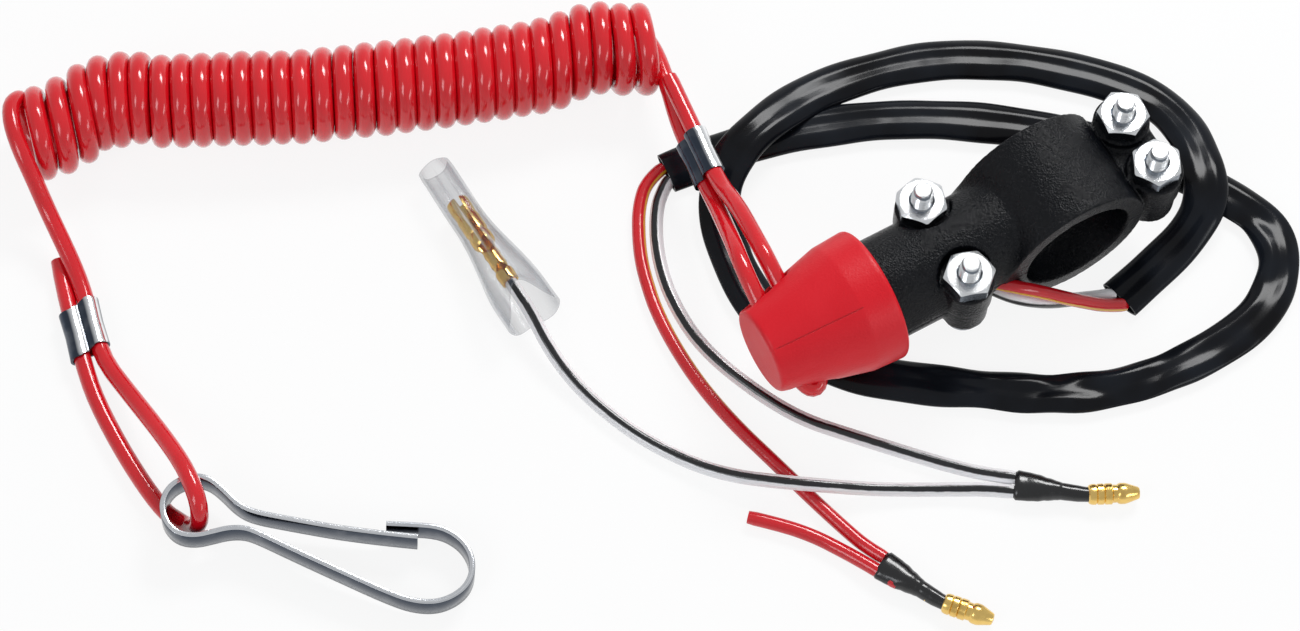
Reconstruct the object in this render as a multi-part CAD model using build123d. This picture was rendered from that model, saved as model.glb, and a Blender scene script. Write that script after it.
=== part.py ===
from build123d import *
from math import radians, sqrt, tan
import os

# Engine kill switch with a coiled lanyard, in millimetres.
# Origin at the centre of the handlebar bore. +X runs along the switch barrel
# from the red cap to the clamp, the handlebar lies along Y, and +Z is up
# through the nuts. The cords and leads lie on the surface at SURFACE_Z.

# Handlebar clamp
BAR_D = 22.2
CLAMP_WALL = 3.4
CLAMP_WIDTH = 20.4
SURFACE_Z = -17.9

# Switch barrel
BARREL_R = 10.0
NOSE_X = -49.5
NOSE_WALL = 2.0
NOSE_ROUND = 0.8
JUNCTION_ROUND = 2.5
CHAMBER_R = 7.0
CHAMBER_END_X = -29.0
WIRE_WAY = 11.0
WIRE_WAY_END_X = -14.5

# Screws and nuts
SCREW_D = 4.17
SCREW_TIP_D = 3.4
SCREW_TIP_LENGTH = 1.2
SCREW_LENGTH = 20.0
SCREW_CLEARANCE = 0.15
HEAD_D = 7.6
HEAD_H = 3.0
HEAD_ROUND = 1.1
DRIVE_WIDTH = 1.1
DRIVE_DEPTH = 1.5
DRIVE_LENGTH = 4.6
NUT_FLATS = 8.7
NUT_H = 3.2
NUT_BORE_CLEARANCE = 0.02
SEAT_Z = 6.5
HEAD_SEAT_Z = -6.0
NUT_POCKET_R = 5.7
BARREL_SCREW_X = -23.7
BARREL_SCREW_Y = 8.6
BARREL_BOSS_R = 4.9
LOWER_BOSS_STEP = 0.4
EAR_SCREW_X = 18.9
EAR_SCREW_Y = 5.9
EAR_BOSS_R = 5.4
EAR_WEB_DROP = 1.2

# Plunger and contacts
STEM_R = 2.8
RUNNING_CLEARANCE = 0.08
PLUNGER_OUT = 1.0
PLUNGER_TRAVEL = 3.0
PLUNGER_TIP_ROUND = 0.6
FLANGE_R = 4.5
FLANGE_T = 2.0
GUIDE_PIN_R = 2.5
GUIDE_PIN_LENGTH = 3.2
BRIDGE_R = 4.6
BRIDGE_T = 0.6
CONTACT_BLOCK_T = 4.0
CONTACT_T = 0.4
CONTACT_GAP = 0.1
CONTACT_WIDTH = 3.0
CONTACT_INNER_Y = 3.4
CONTACT_TAIL_Y = 5.5
CONTACT_TAIL_T = 0.6
FIT_GAP = 0.05
SEAT_T = 2.0
SEAT_NOTCH_INNER_Y = 2.6
SEAT_NOTCH_WIDTH = 3.6
SPRING_R = 3.4
SPRING_WIRE = 0.7
SPRING_TURNS = 4

# Kill cap
CAP_RIM_X = -38.3
CAP_END_X = -63.1
CAP_BAND_X = -45.2
CAP_CLEARANCE = 0.3
CAP_WALL = 2.5
CAP_RIM_FLARE = 0.4
CAP_CONE_DROP = 4.5
CAP_FLOOR_X = -50.8
CAP_ROUND = 1.0
CAP_RIM_ROUND = 0.9
CORD_BORE_D = 3.8
CORD_BORE_PITCH = 5.0
CORD_BORE_X = -56.5
CORD_BORE_TILT = 65.0
CORD_SLOT_X = -57.4
CORD_SLOT_LENGTH = 12.0
CORD_SLOT_WIDTH = 4.4
CORD_SLOT_DROP = 0.2
WEB_RISE = 0.5

# Lanyard cord, coil and ferrules
LANYARD_D = 3.4
COIL_D = 18.6
FERRULE_WALL = 0.5
FERRULE_FIT = 0.1
FERRULE_LENGTH = 10.0
FERRULE_CAP_LENGTH = 9.4

# Snap hook
HOOK_STRIP_T = 1.1
HOOK_STRIP_W = 5.8
HOOK_EYE = (-168.57, 27.89, -8.65)
HOOK_HEADING = -38.2
HOOK_PITCH = 3.5

# Wires, sleeve, boots and terminals
WIRE_D = 2.7
WIRE_CLEARANCE = 0.2
SLEEVE_W = 8.5
SLEEVE_T = 3.2
BOOT_PAIR_W = 5.6
BOOT_PAIR_T = 3.3
BOOT_WAIST_D = 3.8
BOOT_END_D = 2.8
BOOT_BORE_CLEARANCE = 0.05
BULLET_D = 4.0
BULLET_GROOVE_D = 3.4
BULLET_NOSE_D = 2.4
BULLET_LENGTH = 10.2
BULLET_NECK_D = 2.0
BULLET_NECK_LENGTH = 4.0

# Clear insulator and the terminal in it
INSULATOR_D = 6.9
INSULATOR_WALL = 0.5
INSULATOR_SKIRT_D = 11.5
INSULATOR_BODY = 17.0
INSULATOR_LENGTH = 38.4
INSULATOR_SLIT = 3.4
INSULATOR_SLIT_LENGTH = 8.5
TERMINAL_D = 4.6
TERMINAL_WALL = 0.3
TERMINAL_LENGTH = 11.2
TERMINAL_SLOT = 0.8
CRIMP_D = 3.1
CRIMP_LENGTH = 6.4
GRIP_D = 3.7
GRIP_LENGTH = 3.0
TERMINAL_MOUTH = 9.0

# Share of the shorter run that an arc of a cord takes up
ARC_SHARE = 0.45

# Routes of the cords, one point for each bend
WIRE_RED_SWITCH = [
    (-30.8, -4.1, 0.0),
    (-26.0, -4.0, -0.2),
    (-21.3, -4.9, -0.8),
    (-18.0, -7.7, -1.5),
    (-14.6, -10.4, -2.1),
    (-11.4, -12.4, -3.4),
    (-8.2, -13.9, -5.6),
    (-5.0, -15.6, -7.8),
    (-1.4, -16.9, -10.7),
    (2.7, -18.4, -13.9),
    (6.9, -19.3, -16.2),
]
WIRE_WHITE_SWITCH = [
    (-30.8, 4.1, 0.0),
    (-26.4, 3.9, -0.6),
    (-22.6, 1.4, -2.4),
    (-20.0, -3.4, -4.2),
    (-17.4, -7.6, -4.9),
    (-14.6, -11.0, -5.6),
    (-11.4, -13.0, -7.0),
    (-7.3, -14.0, -10.0),
    (-2.8, -14.3, -13.2),
    (1.7, -15.0, -15.6),
    (6.3, -16.5, -16.2),
]
SLEEVE_ROUTE = [
    (6.6, -17.9, -16.27),
    (17.2, -15.3, -16.27),
    (25.4, -12.9, -15.4),
    (31.3, -9.6, -12.5),
    (34.6, -3.0, -12.0),
    (36.9, 5.3, -14.2),
    (36.3, 14.5, -16.27),
    (31.0, 22.5, -16.27),
    (23.1, 30.5, -16.27),
    (13.9, 37.9, -16.27),
    (1.8, 44.7, -16.27),
    (-11.0, 48.2, -16.27),
    (-22.9, 49.3, -15.4),
    (-34.0, 46.9, -12.5),
    (-43.6, 43.7, -12.0),
    (-49.8, 38.8, -14.2),
    (-52.9, 31.1, -16.27),
    (-54.8, 21.1, -16.27),
    (-54.2, 8.7, -16.27),
    (-48.4, -4.1, -16.27),
    (-37.4, -13.3, -16.27),
    (-27.2, -20.4, -16.27),
    (-17.1, -27.4, -16.27),
    (-5.1, -33.1, -16.27),
    (6.0, -35.3, -16.27),
    (16.9, -35.6, -16.27),
    (26.7, -34.4, -16.27),
    (33.8, -30.6, -16.27),
    (38.9, -24.9, -16.27),
    (40.2, -17.6, -16.27),
    (37.2, -10.4, -16.27),
    (31.2, 0.9, -16.27),
    (22.7, 11.2, -16.27),
    (12.6, 20.8, -16.27),
    (1.6, 29.2, -16.27),
    (-10.1, 36.2, -16.27),
    (-21.0, 41.0, -16.27),
    (-32.4, 44.6, -16.27),
    (-44.5, 47.1, -16.27),
    (-56.0, 48.0, -16.27),
]
WIRE_RED_LEAD = [
    (-55.9, 49.42, -16.27),
    (-60.1, 48.6, -16.4),
    (-64.3, 44.2, -16.55),
    (-67.3, 38.8, -16.55),
    (-69.5, 33.7, -16.55),
    (-70.9, 28.6, -16.55),
    (-72.0, 23.3, -16.55),
    (-72.6, 15.6, -16.55),
    (-72.3, 5.8, -16.55),
    (-70.6, -4.6, -16.55),
    (-67.9, -14.8, -16.55),
    (-65.3, -25.1, -16.55),
    (-62.9, -33.6, -16.5),
    (-61.5, -38.2, -16.1),
    (-59.73, -41.76, -15.7),
]
WIRE_WHITE_LEAD = [
    (-56.1, 46.58, -16.27),
    (-59.5, 44.6, -16.4),
    (-63.3, 39.4, -16.55),
    (-66.6, 32.0, -16.55),
    (-68.4, 23.6, -16.55),
    (-68.3, 12.7, -16.55),
    (-64.3, 0.6, -16.55),
    (-59.2, -9.5, -16.55),
    (-52.7, -16.9, -16.55),
    (-46.1, -24.3, -16.55),
    (-39.4, -31.6, -16.5),
    (-33.9, -36.9, -16.1),
    (-30.23, -39.78, -15.7),
]
WIRE_WHITE_BRANCH = [
    (-94.27, 40.5, -12.29),
    (-94.0, 36.2, -12.1),
    (-93.9, 31.6, -13.0),
    (-94.1, 25.8, -14.2),
    (-93.3, 19.0, -15.7),
    (-91.3, 11.4, -16.5),
    (-87.5, 1.8, -16.5),
    (-81.9, -7.4, -16.2),
    (-76.4, -14.0, -15.0),
    (-70.2, -19.4, -13.5),
    (-62.9, -24.4, -13.5),
    (-55.6, -28.3, -15.6),
    (-47.2, -32.7, -16.5),
    (-40.6, -36.3, -16.5),
    (-35.5, -39.3, -16.1),
    (-31.97, -42.02, -15.7),
]
WIRE_RED_BRANCH = [
    (-77.7, -22.0, -16.55),
    (-72.8, -26.6, -16.55),
    (-68.7, -31.5, -16.55),
    (-66.0, -35.9, -16.5),
    (-64.1, -39.4, -16.1),
    (-62.27, -43.04, -15.7),
]
CAP_FERRULE_LOW = (-52.1, 43.2, -7.7)
CAP_FERRULE_HIGH = (-50.48, 43.2, -4.29)
CAP_FERRULE_AXIS = (-0.12, -0.993, 0.0)
LANYARD_CAP_LEAD = [
    (-50.0, 77.5, -11.5),
    (-46.6, 75.2, -10.6),
    (-46.6, 70.7, -9.2),
    (-47.3, 66.0, -8.4),
    (-48.6, 60.5, -7.9),
    (-50.0, 55.6, -7.7),
    (-51.26, 50.15, -7.7),
    (-52.94, 36.25, -7.7),
    (-54.2, 30.9, -4.3),
    (-57.5, 19.0, 4.3),
    (-59.0, 12.69, 5.92),
    (-59.0, -0.45, -0.21),
]
LANYARD_CAP_TAIL = [
    (-59.0, -0.45, -0.21),
    (-59.0, -9.61, -4.48),
    (-54.0, -9.61, -4.48),
    (-54.0, 12.69, 5.92),
    (-53.2, 19.4, 4.3),
    (-51.9, 28.2, 0.9),
    (-51.32, 36.25, -4.29),
    (-49.64, 50.15, -4.29),
    (-49.2, 54.4, -4.15),
    (-48.5, 60.6, -4.0),
]
CAP_FOLD_R = 2.4
HOOK_FERRULE_LEAD = (-167.6, 72.8, -15.55)
HOOK_FERRULE_TAIL = (-171.35, 71.85, -15.55)
HOOK_FERRULE_AXIS = (-0.21, -0.978, 0.0)
LANYARD_HOOK_LEAD = [
    (-159.9, 117.4, -3.8),
    (-162.3, 115.9, -1.7),
    (-164.0, 111.8, -1.0),
    (-164.8, 106.6, -2.3),
    (-164.9, 101.6, -6.0),
    (-165.1, 96.6, -10.6),
    (-165.3, 90.6, -12.3),
    (-165.5, 85.5, -14.1),
    (-166.09, 79.82, -15.55),
    (-169.07, 65.96, -15.55),
    (-168.1, 57.5, -14.0),
    (-167.0, 48.5, -11.4),
    (-166.2, 40.5, -8.8),
    (-165.9, 33.0, -6.4),
    (-166.7, 26.2, -6.6),
    (-168.2, 24.0, -11.2),
    (-169.8, 26.4, -15.5),
    (-171.05, 29.0, -15.85),
]
LANYARD_HOOK_TAIL = [
    (-171.05, 29.0, -15.85),
    (-172.3, 31.6, -16.2),
    (-173.3, 38.0, -16.2),
    (-173.9, 47.5, -16.2),
    (-173.8, 58.0, -16.1),
    (-172.82, 65.01, -15.55),
    (-169.88, 78.69, -15.55),
    (-168.8, 83.0, -16.1),
    (-167.4, 88.3, -16.2),
]
COIL_ROUTE = [
    (-159.2, 111.8, -8.6),
    (-146.4, 110.4, -8.6),
    (-128.5, 102.2, -8.6),
    (-107.5, 92.0, -8.6),
    (-86.4, 83.4, -8.6),
    (-67.0, 77.4, -8.6),
    (-51.3, 71.6, -8.6),
]

# Outline of the hook strip in its own plane, from the gate end round the eye
# and the back leg to the latch tip
HOOK_STRIP = [
    (42.9, 1.5),
    (31.9, 0.6),
    (17.3, 0.7),
    (11.6, 0.9),
    (8.6, 2.1),
    (5.9, 4.1),
    (3.3, 5.7),
    (0.7, 6.1),
    (-1.9, 5.1),
    (-3.9, 3.2),
    (-4.7, 0.6),
    (-4.3, -2.0),
    (-2.9, -4.3),
    (-0.5, -5.8),
    (2.6, -5.7),
    (5.5, -4.4),
    (8.2, -3.1),
    (11.1, -2.5),
    (13.9, -3.0),
    (20.0, -4.8),
    (30.0, -7.6),
    (38.8, -10.0),
    (43.9, -11.0),
    (48.2, -10.6),
    (51.3, -8.9),
    (53.5, -6.3),
    (54.1, -3.2),
    (53.2, -0.1),
    (51.1, 2.3),
    (48.3, 3.7),
    (45.4, 4.1),
    (41.1, 3.6),
    (36.7, 3.0),
]

# Axes of the boots and bullets: start and end of each, from the wires outward
BOOT_WHITE_AXIS = [(-31.1, -40.9, -15.7), (-20.6, -49.0, -15.75)]
BOOT_RED_AXIS = [(-61.0, -42.4, -15.7), (-55.1, -54.1, -15.75)]
BULLET_WHITE_NOSE = (-10.2, -54.3, -15.75)
BULLET_RED_NOSE = (-48.2, -62.2, -15.75)
INSULATOR_TOP = (-95.4, 70.0, -14.4)
INSULATOR_SKIRT = (-94.2, 38.5, -12.15)

os.makedirs("parts", exist_ok=True)


def cylinder_x(radius, x_start, x_end):
    """A cylinder about the X axis between two stations."""
    return Pos((x_start + x_end) / 2, 0, 0) * Rot(0, 90, 0) * Cylinder(radius, abs(x_end - x_start))


def upright(radius, x, y, z_low, z_high):
    """A cylinder along Z between two heights."""
    return Pos(x, y, (z_low + z_high) / 2) * Cylinder(radius, z_high - z_low)


def block(x_low, x_high, y_low, y_high, z_low, z_high):
    """A box given by its corners."""
    centre = Pos((x_low + x_high) / 2, (y_low + y_high) / 2, (z_low + z_high) / 2)
    return centre * Box(x_high - x_low, y_high - y_low, z_high - z_low)


def revolved_x(points):
    """A solid turned about the X axis from (x, radius) points."""
    outline = Polyline(*[(x, 0, r) for x, r in points], close=True)
    return revolve(make_face(outline), Axis.X)


def route_radii(points, tight=None):
    """The bend radius at each inner point of a route."""
    corners = [Vector(*point) for point in points]
    radii = []
    for before, corner, after in zip(corners, corners[1:], corners[2:]):
        run_in = corner - before
        run_out = after - corner
        half_turn = radians(run_in.get_angle(run_out)) / 2
        radii.append(ARC_SHARE * min(run_in.length, run_out.length) / tan(half_turn))
    for index, radius in (tight or {}).items():
        radii[index - 1] = radius
    return radii


def cord(name, points, width, thickness=None, tight=None):
    """A cord's tube along straight runs joined by tangent arcs."""
    radii = route_radii(points, tight)
    path = FilletPolyline(*points, radius=radii)
    start = path @ 0
    along = path % 0
    side = Vector(0, 0, 1).cross(along).normalized()
    plane = Plane(origin=start, x_dir=side, z_dir=along)
    if thickness is None:
        section = plane * Circle(width / 2)
        solid = sweep(section, path=path)
    else:
        section = plane * Ellipse(width / 2, thickness / 2)
        solid = sweep(section, path=path)
    expected = section.area * path.length
    print(name, "length %.1f" % path.length, "volume ratio %.4f" % (solid.volume / expected))
    print("  smallest radius %.1f" % min(radii), "radii", [round(radius, 1) for radius in radii])
    return solid


def along_axis(start, end):
    """A plane at the start of an axis, with its normal along it."""
    direction = Vector(*end) - Vector(*start)
    side = Vector(0, 0, 1).cross(direction).normalized()
    return Plane(origin=start, x_dir=side, z_dir=direction)


def save(node, shape):
    """Write one node's STEP file."""
    export_step(shape, "parts/" + node + ".step")


# Housing, made whole and then split at the level of the bore's axis
RING_R = BAR_D / 2 + CLAMP_WALL
SCREW_PLACES = [
    (BARREL_SCREW_X, BARREL_SCREW_Y, BARREL_BOSS_R),
    (BARREL_SCREW_X, -BARREL_SCREW_Y, BARREL_BOSS_R),
    (EAR_SCREW_X, EAR_SCREW_Y, EAR_BOSS_R),
    (EAR_SCREW_X, -EAR_SCREW_Y, EAR_BOSS_R),
]
NUT_CORNER_R = NUT_FLATS / sqrt(3)

long_ring = Rot(90, 0, 0) * Cylinder(RING_R, 3 * CLAMP_WIDTH)
barrel = cylinder_x(BARREL_R, NOSE_X, 0)
barrel = fillet(barrel.edges().sort_by(Axis.X)[0], NOSE_ROUND)
joined = long_ring + barrel
junction = joined.edges().filter_by(
    lambda edge: -RING_R - 0.1 < edge.center().X < -0.5 and abs(edge.center().Y) < BARREL_R and edge.length > BARREL_R
)
joined = fillet(junction, JUNCTION_ROUND)
slab = block(NOSE_X - 1, RING_R + 1, -CLAMP_WIDTH / 2, CLAMP_WIDTH / 2, -RING_R - 1, RING_R + 1)
housing = joined & slab

for x, y, radius in SCREW_PLACES:
    housing += upright(radius, x, y, 0, SEAT_Z)
    housing += upright(radius - LOWER_BOSS_STEP, x, y, HEAD_SEAT_Z, 0)
EAR_END_X = EAR_SCREW_X + EAR_BOSS_R - EAR_WEB_DROP
housing += block(RING_R - CLAMP_WALL, EAR_END_X, -EAR_SCREW_Y, EAR_SCREW_Y, HEAD_SEAT_Z + EAR_WEB_DROP, SEAT_Z - EAR_WEB_DROP)

housing -= Rot(90, 0, 0) * Cylinder(BAR_D / 2, CLAMP_WIDTH + 2)
for x, y, radius in SCREW_PLACES:
    housing -= upright(SCREW_D / 2 + SCREW_CLEARANCE, x, y, HEAD_SEAT_Z - 1, SEAT_Z + 1)
    housing -= upright(NUT_POCKET_R, x, y, SEAT_Z, RING_R + 1)
    housing -= upright(NUT_POCKET_R, x, y, -RING_R - 1, HEAD_SEAT_Z)
housing -= cylinder_x(CHAMBER_R, NOSE_X + NOSE_WALL, CHAMBER_END_X)
housing -= cylinder_x(STEM_R + RUNNING_CLEARANCE, NOSE_X - 1, NOSE_X + NOSE_WALL + 1)
housing -= block(CHAMBER_END_X - 1, WIRE_WAY_END_X, -WIRE_WAY / 2, WIRE_WAY / 2, -WIRE_WAY / 2, WIRE_WAY / 2)
for points in (WIRE_RED_SWITCH, WIRE_WHITE_SWITCH):
    housing -= cord("wire hole", points[1:8], WIRE_D + 2 * WIRE_CLEARANCE)

reach = 100
upper_half = housing & block(-reach, reach, -reach, reach, 0, reach)
lower_half = housing & block(-reach, reach, -reach, reach, -reach, 0)
save("housing_upper", upper_half)
save("housing_lower", lower_half)

# Screws with round slotted heads below, and nuts on top
HEAD_Z = HEAD_SEAT_Z - HEAD_H
SHANK_TOP_Z = HEAD_SEAT_Z + SCREW_LENGTH
screws = []
nuts = []
for x, y, radius in SCREW_PLACES:
    head = Pos(0, 0, (HEAD_Z + HEAD_SEAT_Z) / 2) * Cylinder(HEAD_D / 2, HEAD_H)
    head = fillet(head.edges().sort_by(Axis.Z)[0], HEAD_ROUND)
    head -= block(-DRIVE_LENGTH / 2, DRIVE_LENGTH / 2, -DRIVE_WIDTH / 2, DRIVE_WIDTH / 2, HEAD_Z - 1, HEAD_Z + DRIVE_DEPTH)
    shank = upright(SCREW_D / 2, 0, 0, HEAD_SEAT_Z, SHANK_TOP_Z - SCREW_TIP_LENGTH)
    tip = upright(SCREW_TIP_D / 2, 0, 0, SHANK_TOP_Z - SCREW_TIP_LENGTH, SHANK_TOP_Z)
    screws.append(Pos(x, y, 0) * (head + shank + tip))
    nut = Pos(0, 0, SEAT_Z) * extrude(RegularPolygon(NUT_CORNER_R, 6), NUT_H)
    crown = Pos(0, 0, SEAT_Z) * Cone(NUT_CORNER_R + NUT_H, NUT_FLATS / 2 - 0.1, NUT_H, align=(Align.CENTER, Align.CENTER, Align.MIN))
    nut = nut & crown
    nut -= upright(SCREW_D / 2 + NUT_BORE_CLEARANCE, 0, 0, SEAT_Z - 1, SEAT_Z + NUT_H + 1)
    nuts.append(Pos(x, y, 0) * nut)
save("clamp_screws", Compound(children=screws))
save("clamp_nuts", Compound(children=nuts))

# Inside the barrel
BLOCK_X = NOSE_X + NOSE_WALL
BLOCK_END_X = BLOCK_X + CONTACT_BLOCK_T
contact_block = cylinder_x(CHAMBER_R, BLOCK_X, BLOCK_END_X)
contact_block -= cylinder_x(STEM_R + RUNNING_CLEARANCE, BLOCK_X - 1, BLOCK_END_X + 1)
save("contact_block", contact_block)

NOTCH_END_X = CHAMBER_END_X - 0.2
for node, sign in (("contact_red", -1), ("contact_white", 1)):
    y_edges = sorted((sign * CONTACT_INNER_Y, sign * (CONTACT_TAIL_Y + CONTACT_TAIL_T)))
    pad = block(BLOCK_END_X, BLOCK_END_X + CONTACT_T, y_edges[0], y_edges[1], -CONTACT_WIDTH / 2, CONTACT_WIDTH / 2)
    y_edges = sorted((sign * CONTACT_TAIL_Y, sign * (CONTACT_TAIL_Y + CONTACT_TAIL_T)))
    tail = block(BLOCK_END_X, NOTCH_END_X, y_edges[0], y_edges[1], -CONTACT_WIDTH / 2, CONTACT_WIDTH / 2)
    save(node, pad + tail)

SEAT_X = CHAMBER_END_X - SEAT_T
spring_seat = cylinder_x(CHAMBER_R, SEAT_X, CHAMBER_END_X)
for sign in (-1, 1):
    y_edges = sorted((sign * SEAT_NOTCH_INNER_Y, sign * (CHAMBER_R + 1)))
    spring_seat -= block(SEAT_X - 1, CHAMBER_END_X + 1, y_edges[0], y_edges[1], -SEAT_NOTCH_WIDTH / 2, SEAT_NOTCH_WIDTH / 2)
save("spring_seat", spring_seat)

TIP_X = NOSE_X - PLUNGER_OUT
BRIDGE_X = BLOCK_END_X + CONTACT_T + CONTACT_GAP + PLUNGER_TRAVEL
FLANGE_X = BRIDGE_X + BRIDGE_T
FLANGE_END_X = FLANGE_X + FLANGE_T
stem = cylinder_x(STEM_R, TIP_X, FLANGE_X)
stem = fillet(stem.edges().sort_by(Axis.X)[0], PLUNGER_TIP_ROUND)
flange = cylinder_x(FLANGE_R, FLANGE_X, FLANGE_END_X)
guide_pin = cylinder_x(GUIDE_PIN_R, FLANGE_END_X, FLANGE_END_X + GUIDE_PIN_LENGTH)
save("plunger", stem + flange + guide_pin)

bridge = cylinder_x(BRIDGE_R, BRIDGE_X, FLANGE_X)
bridge -= cylinder_x(STEM_R + FIT_GAP, BRIDGE_X - 1, FLANGE_X + 1)
save("contact_bridge", bridge)

SPRING_START_X = FLANGE_END_X + SPRING_WIRE / 2
SPRING_HEIGHT = SEAT_X - SPRING_WIRE / 2 - SPRING_START_X
coil_line = Helix(pitch=SPRING_HEIGHT / SPRING_TURNS, height=SPRING_HEIGHT, radius=SPRING_R)
coil_section = Plane(origin=coil_line @ 0, z_dir=coil_line % 0) * Circle(SPRING_WIRE / 2)
spring = sweep(coil_section, path=coil_line, is_frenet=True)
save("return_spring", Pos(SPRING_START_X, 0, 0) * Rot(0, 90, 0) * spring)

# Kill cap: cone and band, hollow for the nose, with two cross bores
CAP_BAND_R = BARREL_R + CAP_CLEARANCE + CAP_WALL
CAP_RIM_R = CAP_BAND_R + CAP_RIM_FLARE
CAP_END_R = CAP_BAND_R - CAP_CONE_DROP
CORD_SLOT_FLOOR = CAP_END_R - CORD_SLOT_DROP
WEB_END = CAP_END_R + WEB_RISE
cap_profile = [
    (CAP_END_X, 0),
    (CAP_END_X, CAP_END_R),
    (CAP_BAND_X, CAP_BAND_R),
    (CAP_RIM_X, CAP_RIM_R),
    (CAP_RIM_X, 0),
]
cap = revolved_x(cap_profile)
cap = fillet(cap.edges().filter_by(GeomType.CIRCLE).sort_by(Axis.X)[0], CAP_ROUND)
cap = fillet(cap.edges().filter_by(GeomType.CIRCLE).sort_by(Axis.X)[-1], CAP_RIM_ROUND)
cap -= cylinder_x(BARREL_R + CAP_CLEARANCE, CAP_FLOOR_X, CAP_RIM_X + 1)
bore_frame = Pos(CORD_BORE_X, 0, 0) * Rot(-CORD_BORE_TILT, 0, 0)
for sign in (-1, 1):
    cap -= bore_frame * Pos(sign * CORD_BORE_PITCH / 2, 0, 0) * Cylinder(CORD_BORE_D / 2, 4 * CAP_RIM_R)
slot = extrude(SlotOverall(CORD_SLOT_LENGTH, CORD_SLOT_WIDTH), CAP_RIM_R)
cap -= bore_frame * Pos(CORD_SLOT_X - CORD_BORE_X, 0, CORD_SLOT_FLOOR) * slot
fold_slot = extrude(SlotOverall(CORD_BORE_PITCH + CORD_BORE_D, CORD_BORE_D), CAP_RIM_R)
cap -= bore_frame * Pos(0, 0, -WEB_END - CAP_RIM_R) * fold_slot
save("kill_cap", cap)

# Ferrules: two round barrels pressed from one tube
FERRULE_R = LANYARD_D / 2 + FERRULE_FIT + FERRULE_WALL
for node, centres, axis, length in (
    ("ferrule_cap", (CAP_FERRULE_LOW, CAP_FERRULE_HIGH), CAP_FERRULE_AXIS, FERRULE_CAP_LENGTH),
    ("ferrule_hook", (HOOK_FERRULE_LEAD, HOOK_FERRULE_TAIL), HOOK_FERRULE_AXIS, FERRULE_LENGTH),
):
    places = [Plane(origin=centre, z_dir=axis).location for centre in centres]
    ferrule = places[0] * Cylinder(FERRULE_R, length) + places[1] * Cylinder(FERRULE_R, length)
    for place in places:
        ferrule -= place * Cylinder(LANYARD_D / 2 + FERRULE_FIT, length + 2)
    save(node, ferrule)

# Lanyard
save("lanyard_coil", cord("coil", COIL_ROUTE, COIL_D))
save("lanyard_cap_lead", cord("cap lead", LANYARD_CAP_LEAD, LANYARD_D))
save("lanyard_cap_tail", cord("cap tail", LANYARD_CAP_TAIL, LANYARD_D, tight={1: CAP_FOLD_R, 2: CAP_FOLD_R}))
save("lanyard_hook_lead", cord("hook lead", LANYARD_HOOK_LEAD, LANYARD_D))
save("lanyard_hook_tail", cord("hook tail", LANYARD_HOOK_TAIL, LANYARD_D))

# Snap hook: one flat strip bent on edge, lying on its narrow side
hook_plane = Pos(*HOOK_EYE) * Rot(0, 0, HOOK_HEADING) * Rot(0, HOOK_PITCH, 0)
hook_radii = route_radii([(u, v, 0) for u, v in HOOK_STRIP])
hook_line = FilletPolyline(*HOOK_STRIP, radius=hook_radii)
hook_face = trace(hook_line, HOOK_STRIP_T)
save("snap_hook", hook_plane * Pos(0, 0, -HOOK_STRIP_W) * extrude(hook_face, HOOK_STRIP_W))

# Wires, and the sleeve with the wires inside it as one body
save("wire_red_switch", cord("red at switch", WIRE_RED_SWITCH, WIRE_D))
save("wire_white_switch", cord("white at switch", WIRE_WHITE_SWITCH, WIRE_D))
save("harness_sleeve", cord("sleeve", SLEEVE_ROUTE, SLEEVE_W, SLEEVE_T))
save("wire_red_lead", cord("red lead", WIRE_RED_LEAD, WIRE_D))
save("wire_white_lead", cord("white lead", WIRE_WHITE_LEAD, WIRE_D))
save("wire_red_branch", cord("red branch", WIRE_RED_BRANCH, WIRE_D))
save("wire_white_branch", cord("white branch", WIRE_WHITE_BRANCH, WIRE_D))

# Boots and bullet terminals
for colour, axis, nose in (("white", BOOT_WHITE_AXIS, BULLET_WHITE_NOSE), ("red", BOOT_RED_AXIS, BULLET_RED_NOSE)):
    frame = along_axis(axis[0], axis[1])
    boot_length = (Vector(*axis[1]) - Vector(*axis[0])).length
    wide = SlotOverall(BOOT_PAIR_W, BOOT_PAIR_T)
    pair_part = extrude(wide, 0.35 * boot_length)
    taper = loft([Pos(0, 0, 0.35 * boot_length) * wide, Pos(0, 0, 0.55 * boot_length) * Circle(BOOT_WAIST_D / 2)])
    waist = loft([Pos(0, 0, 0.55 * boot_length) * Circle(BOOT_WAIST_D / 2), Pos(0, 0, boot_length) * Circle(BOOT_END_D / 2)])
    boot = frame.location * (pair_part + taper + waist)
    frame = along_axis(axis[1], nose)
    boot -= frame.location * Cylinder(BULLET_NECK_D / 2 + BOOT_BORE_CLEARANCE, 2 * BULLET_NECK_LENGTH)
    save("boot_" + colour, boot)
    outline = Polyline(
        (0, 0, -BULLET_NECK_LENGTH + 0.5),
        (BULLET_NECK_D / 2, 0, -BULLET_NECK_LENGTH + 0.5),
        (BULLET_NECK_D / 2, 0, 0.8),
        (BULLET_D / 2, 0, 1.4),
        (BULLET_D / 2, 0, 0.45 * BULLET_LENGTH),
        (BULLET_GROOVE_D / 2, 0, 0.52 * BULLET_LENGTH),
        (BULLET_GROOVE_D / 2, 0, 0.62 * BULLET_LENGTH),
        (BULLET_D / 2, 0, 0.70 * BULLET_LENGTH),
        (BULLET_D / 2, 0, 0.82 * BULLET_LENGTH),
        (BULLET_NOSE_D / 2, 0, BULLET_LENGTH),
        (0, 0, BULLET_LENGTH),
        close=True,
    )
    save("bullet_" + colour, frame.location * revolve(make_face(outline), Axis.Z))

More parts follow.
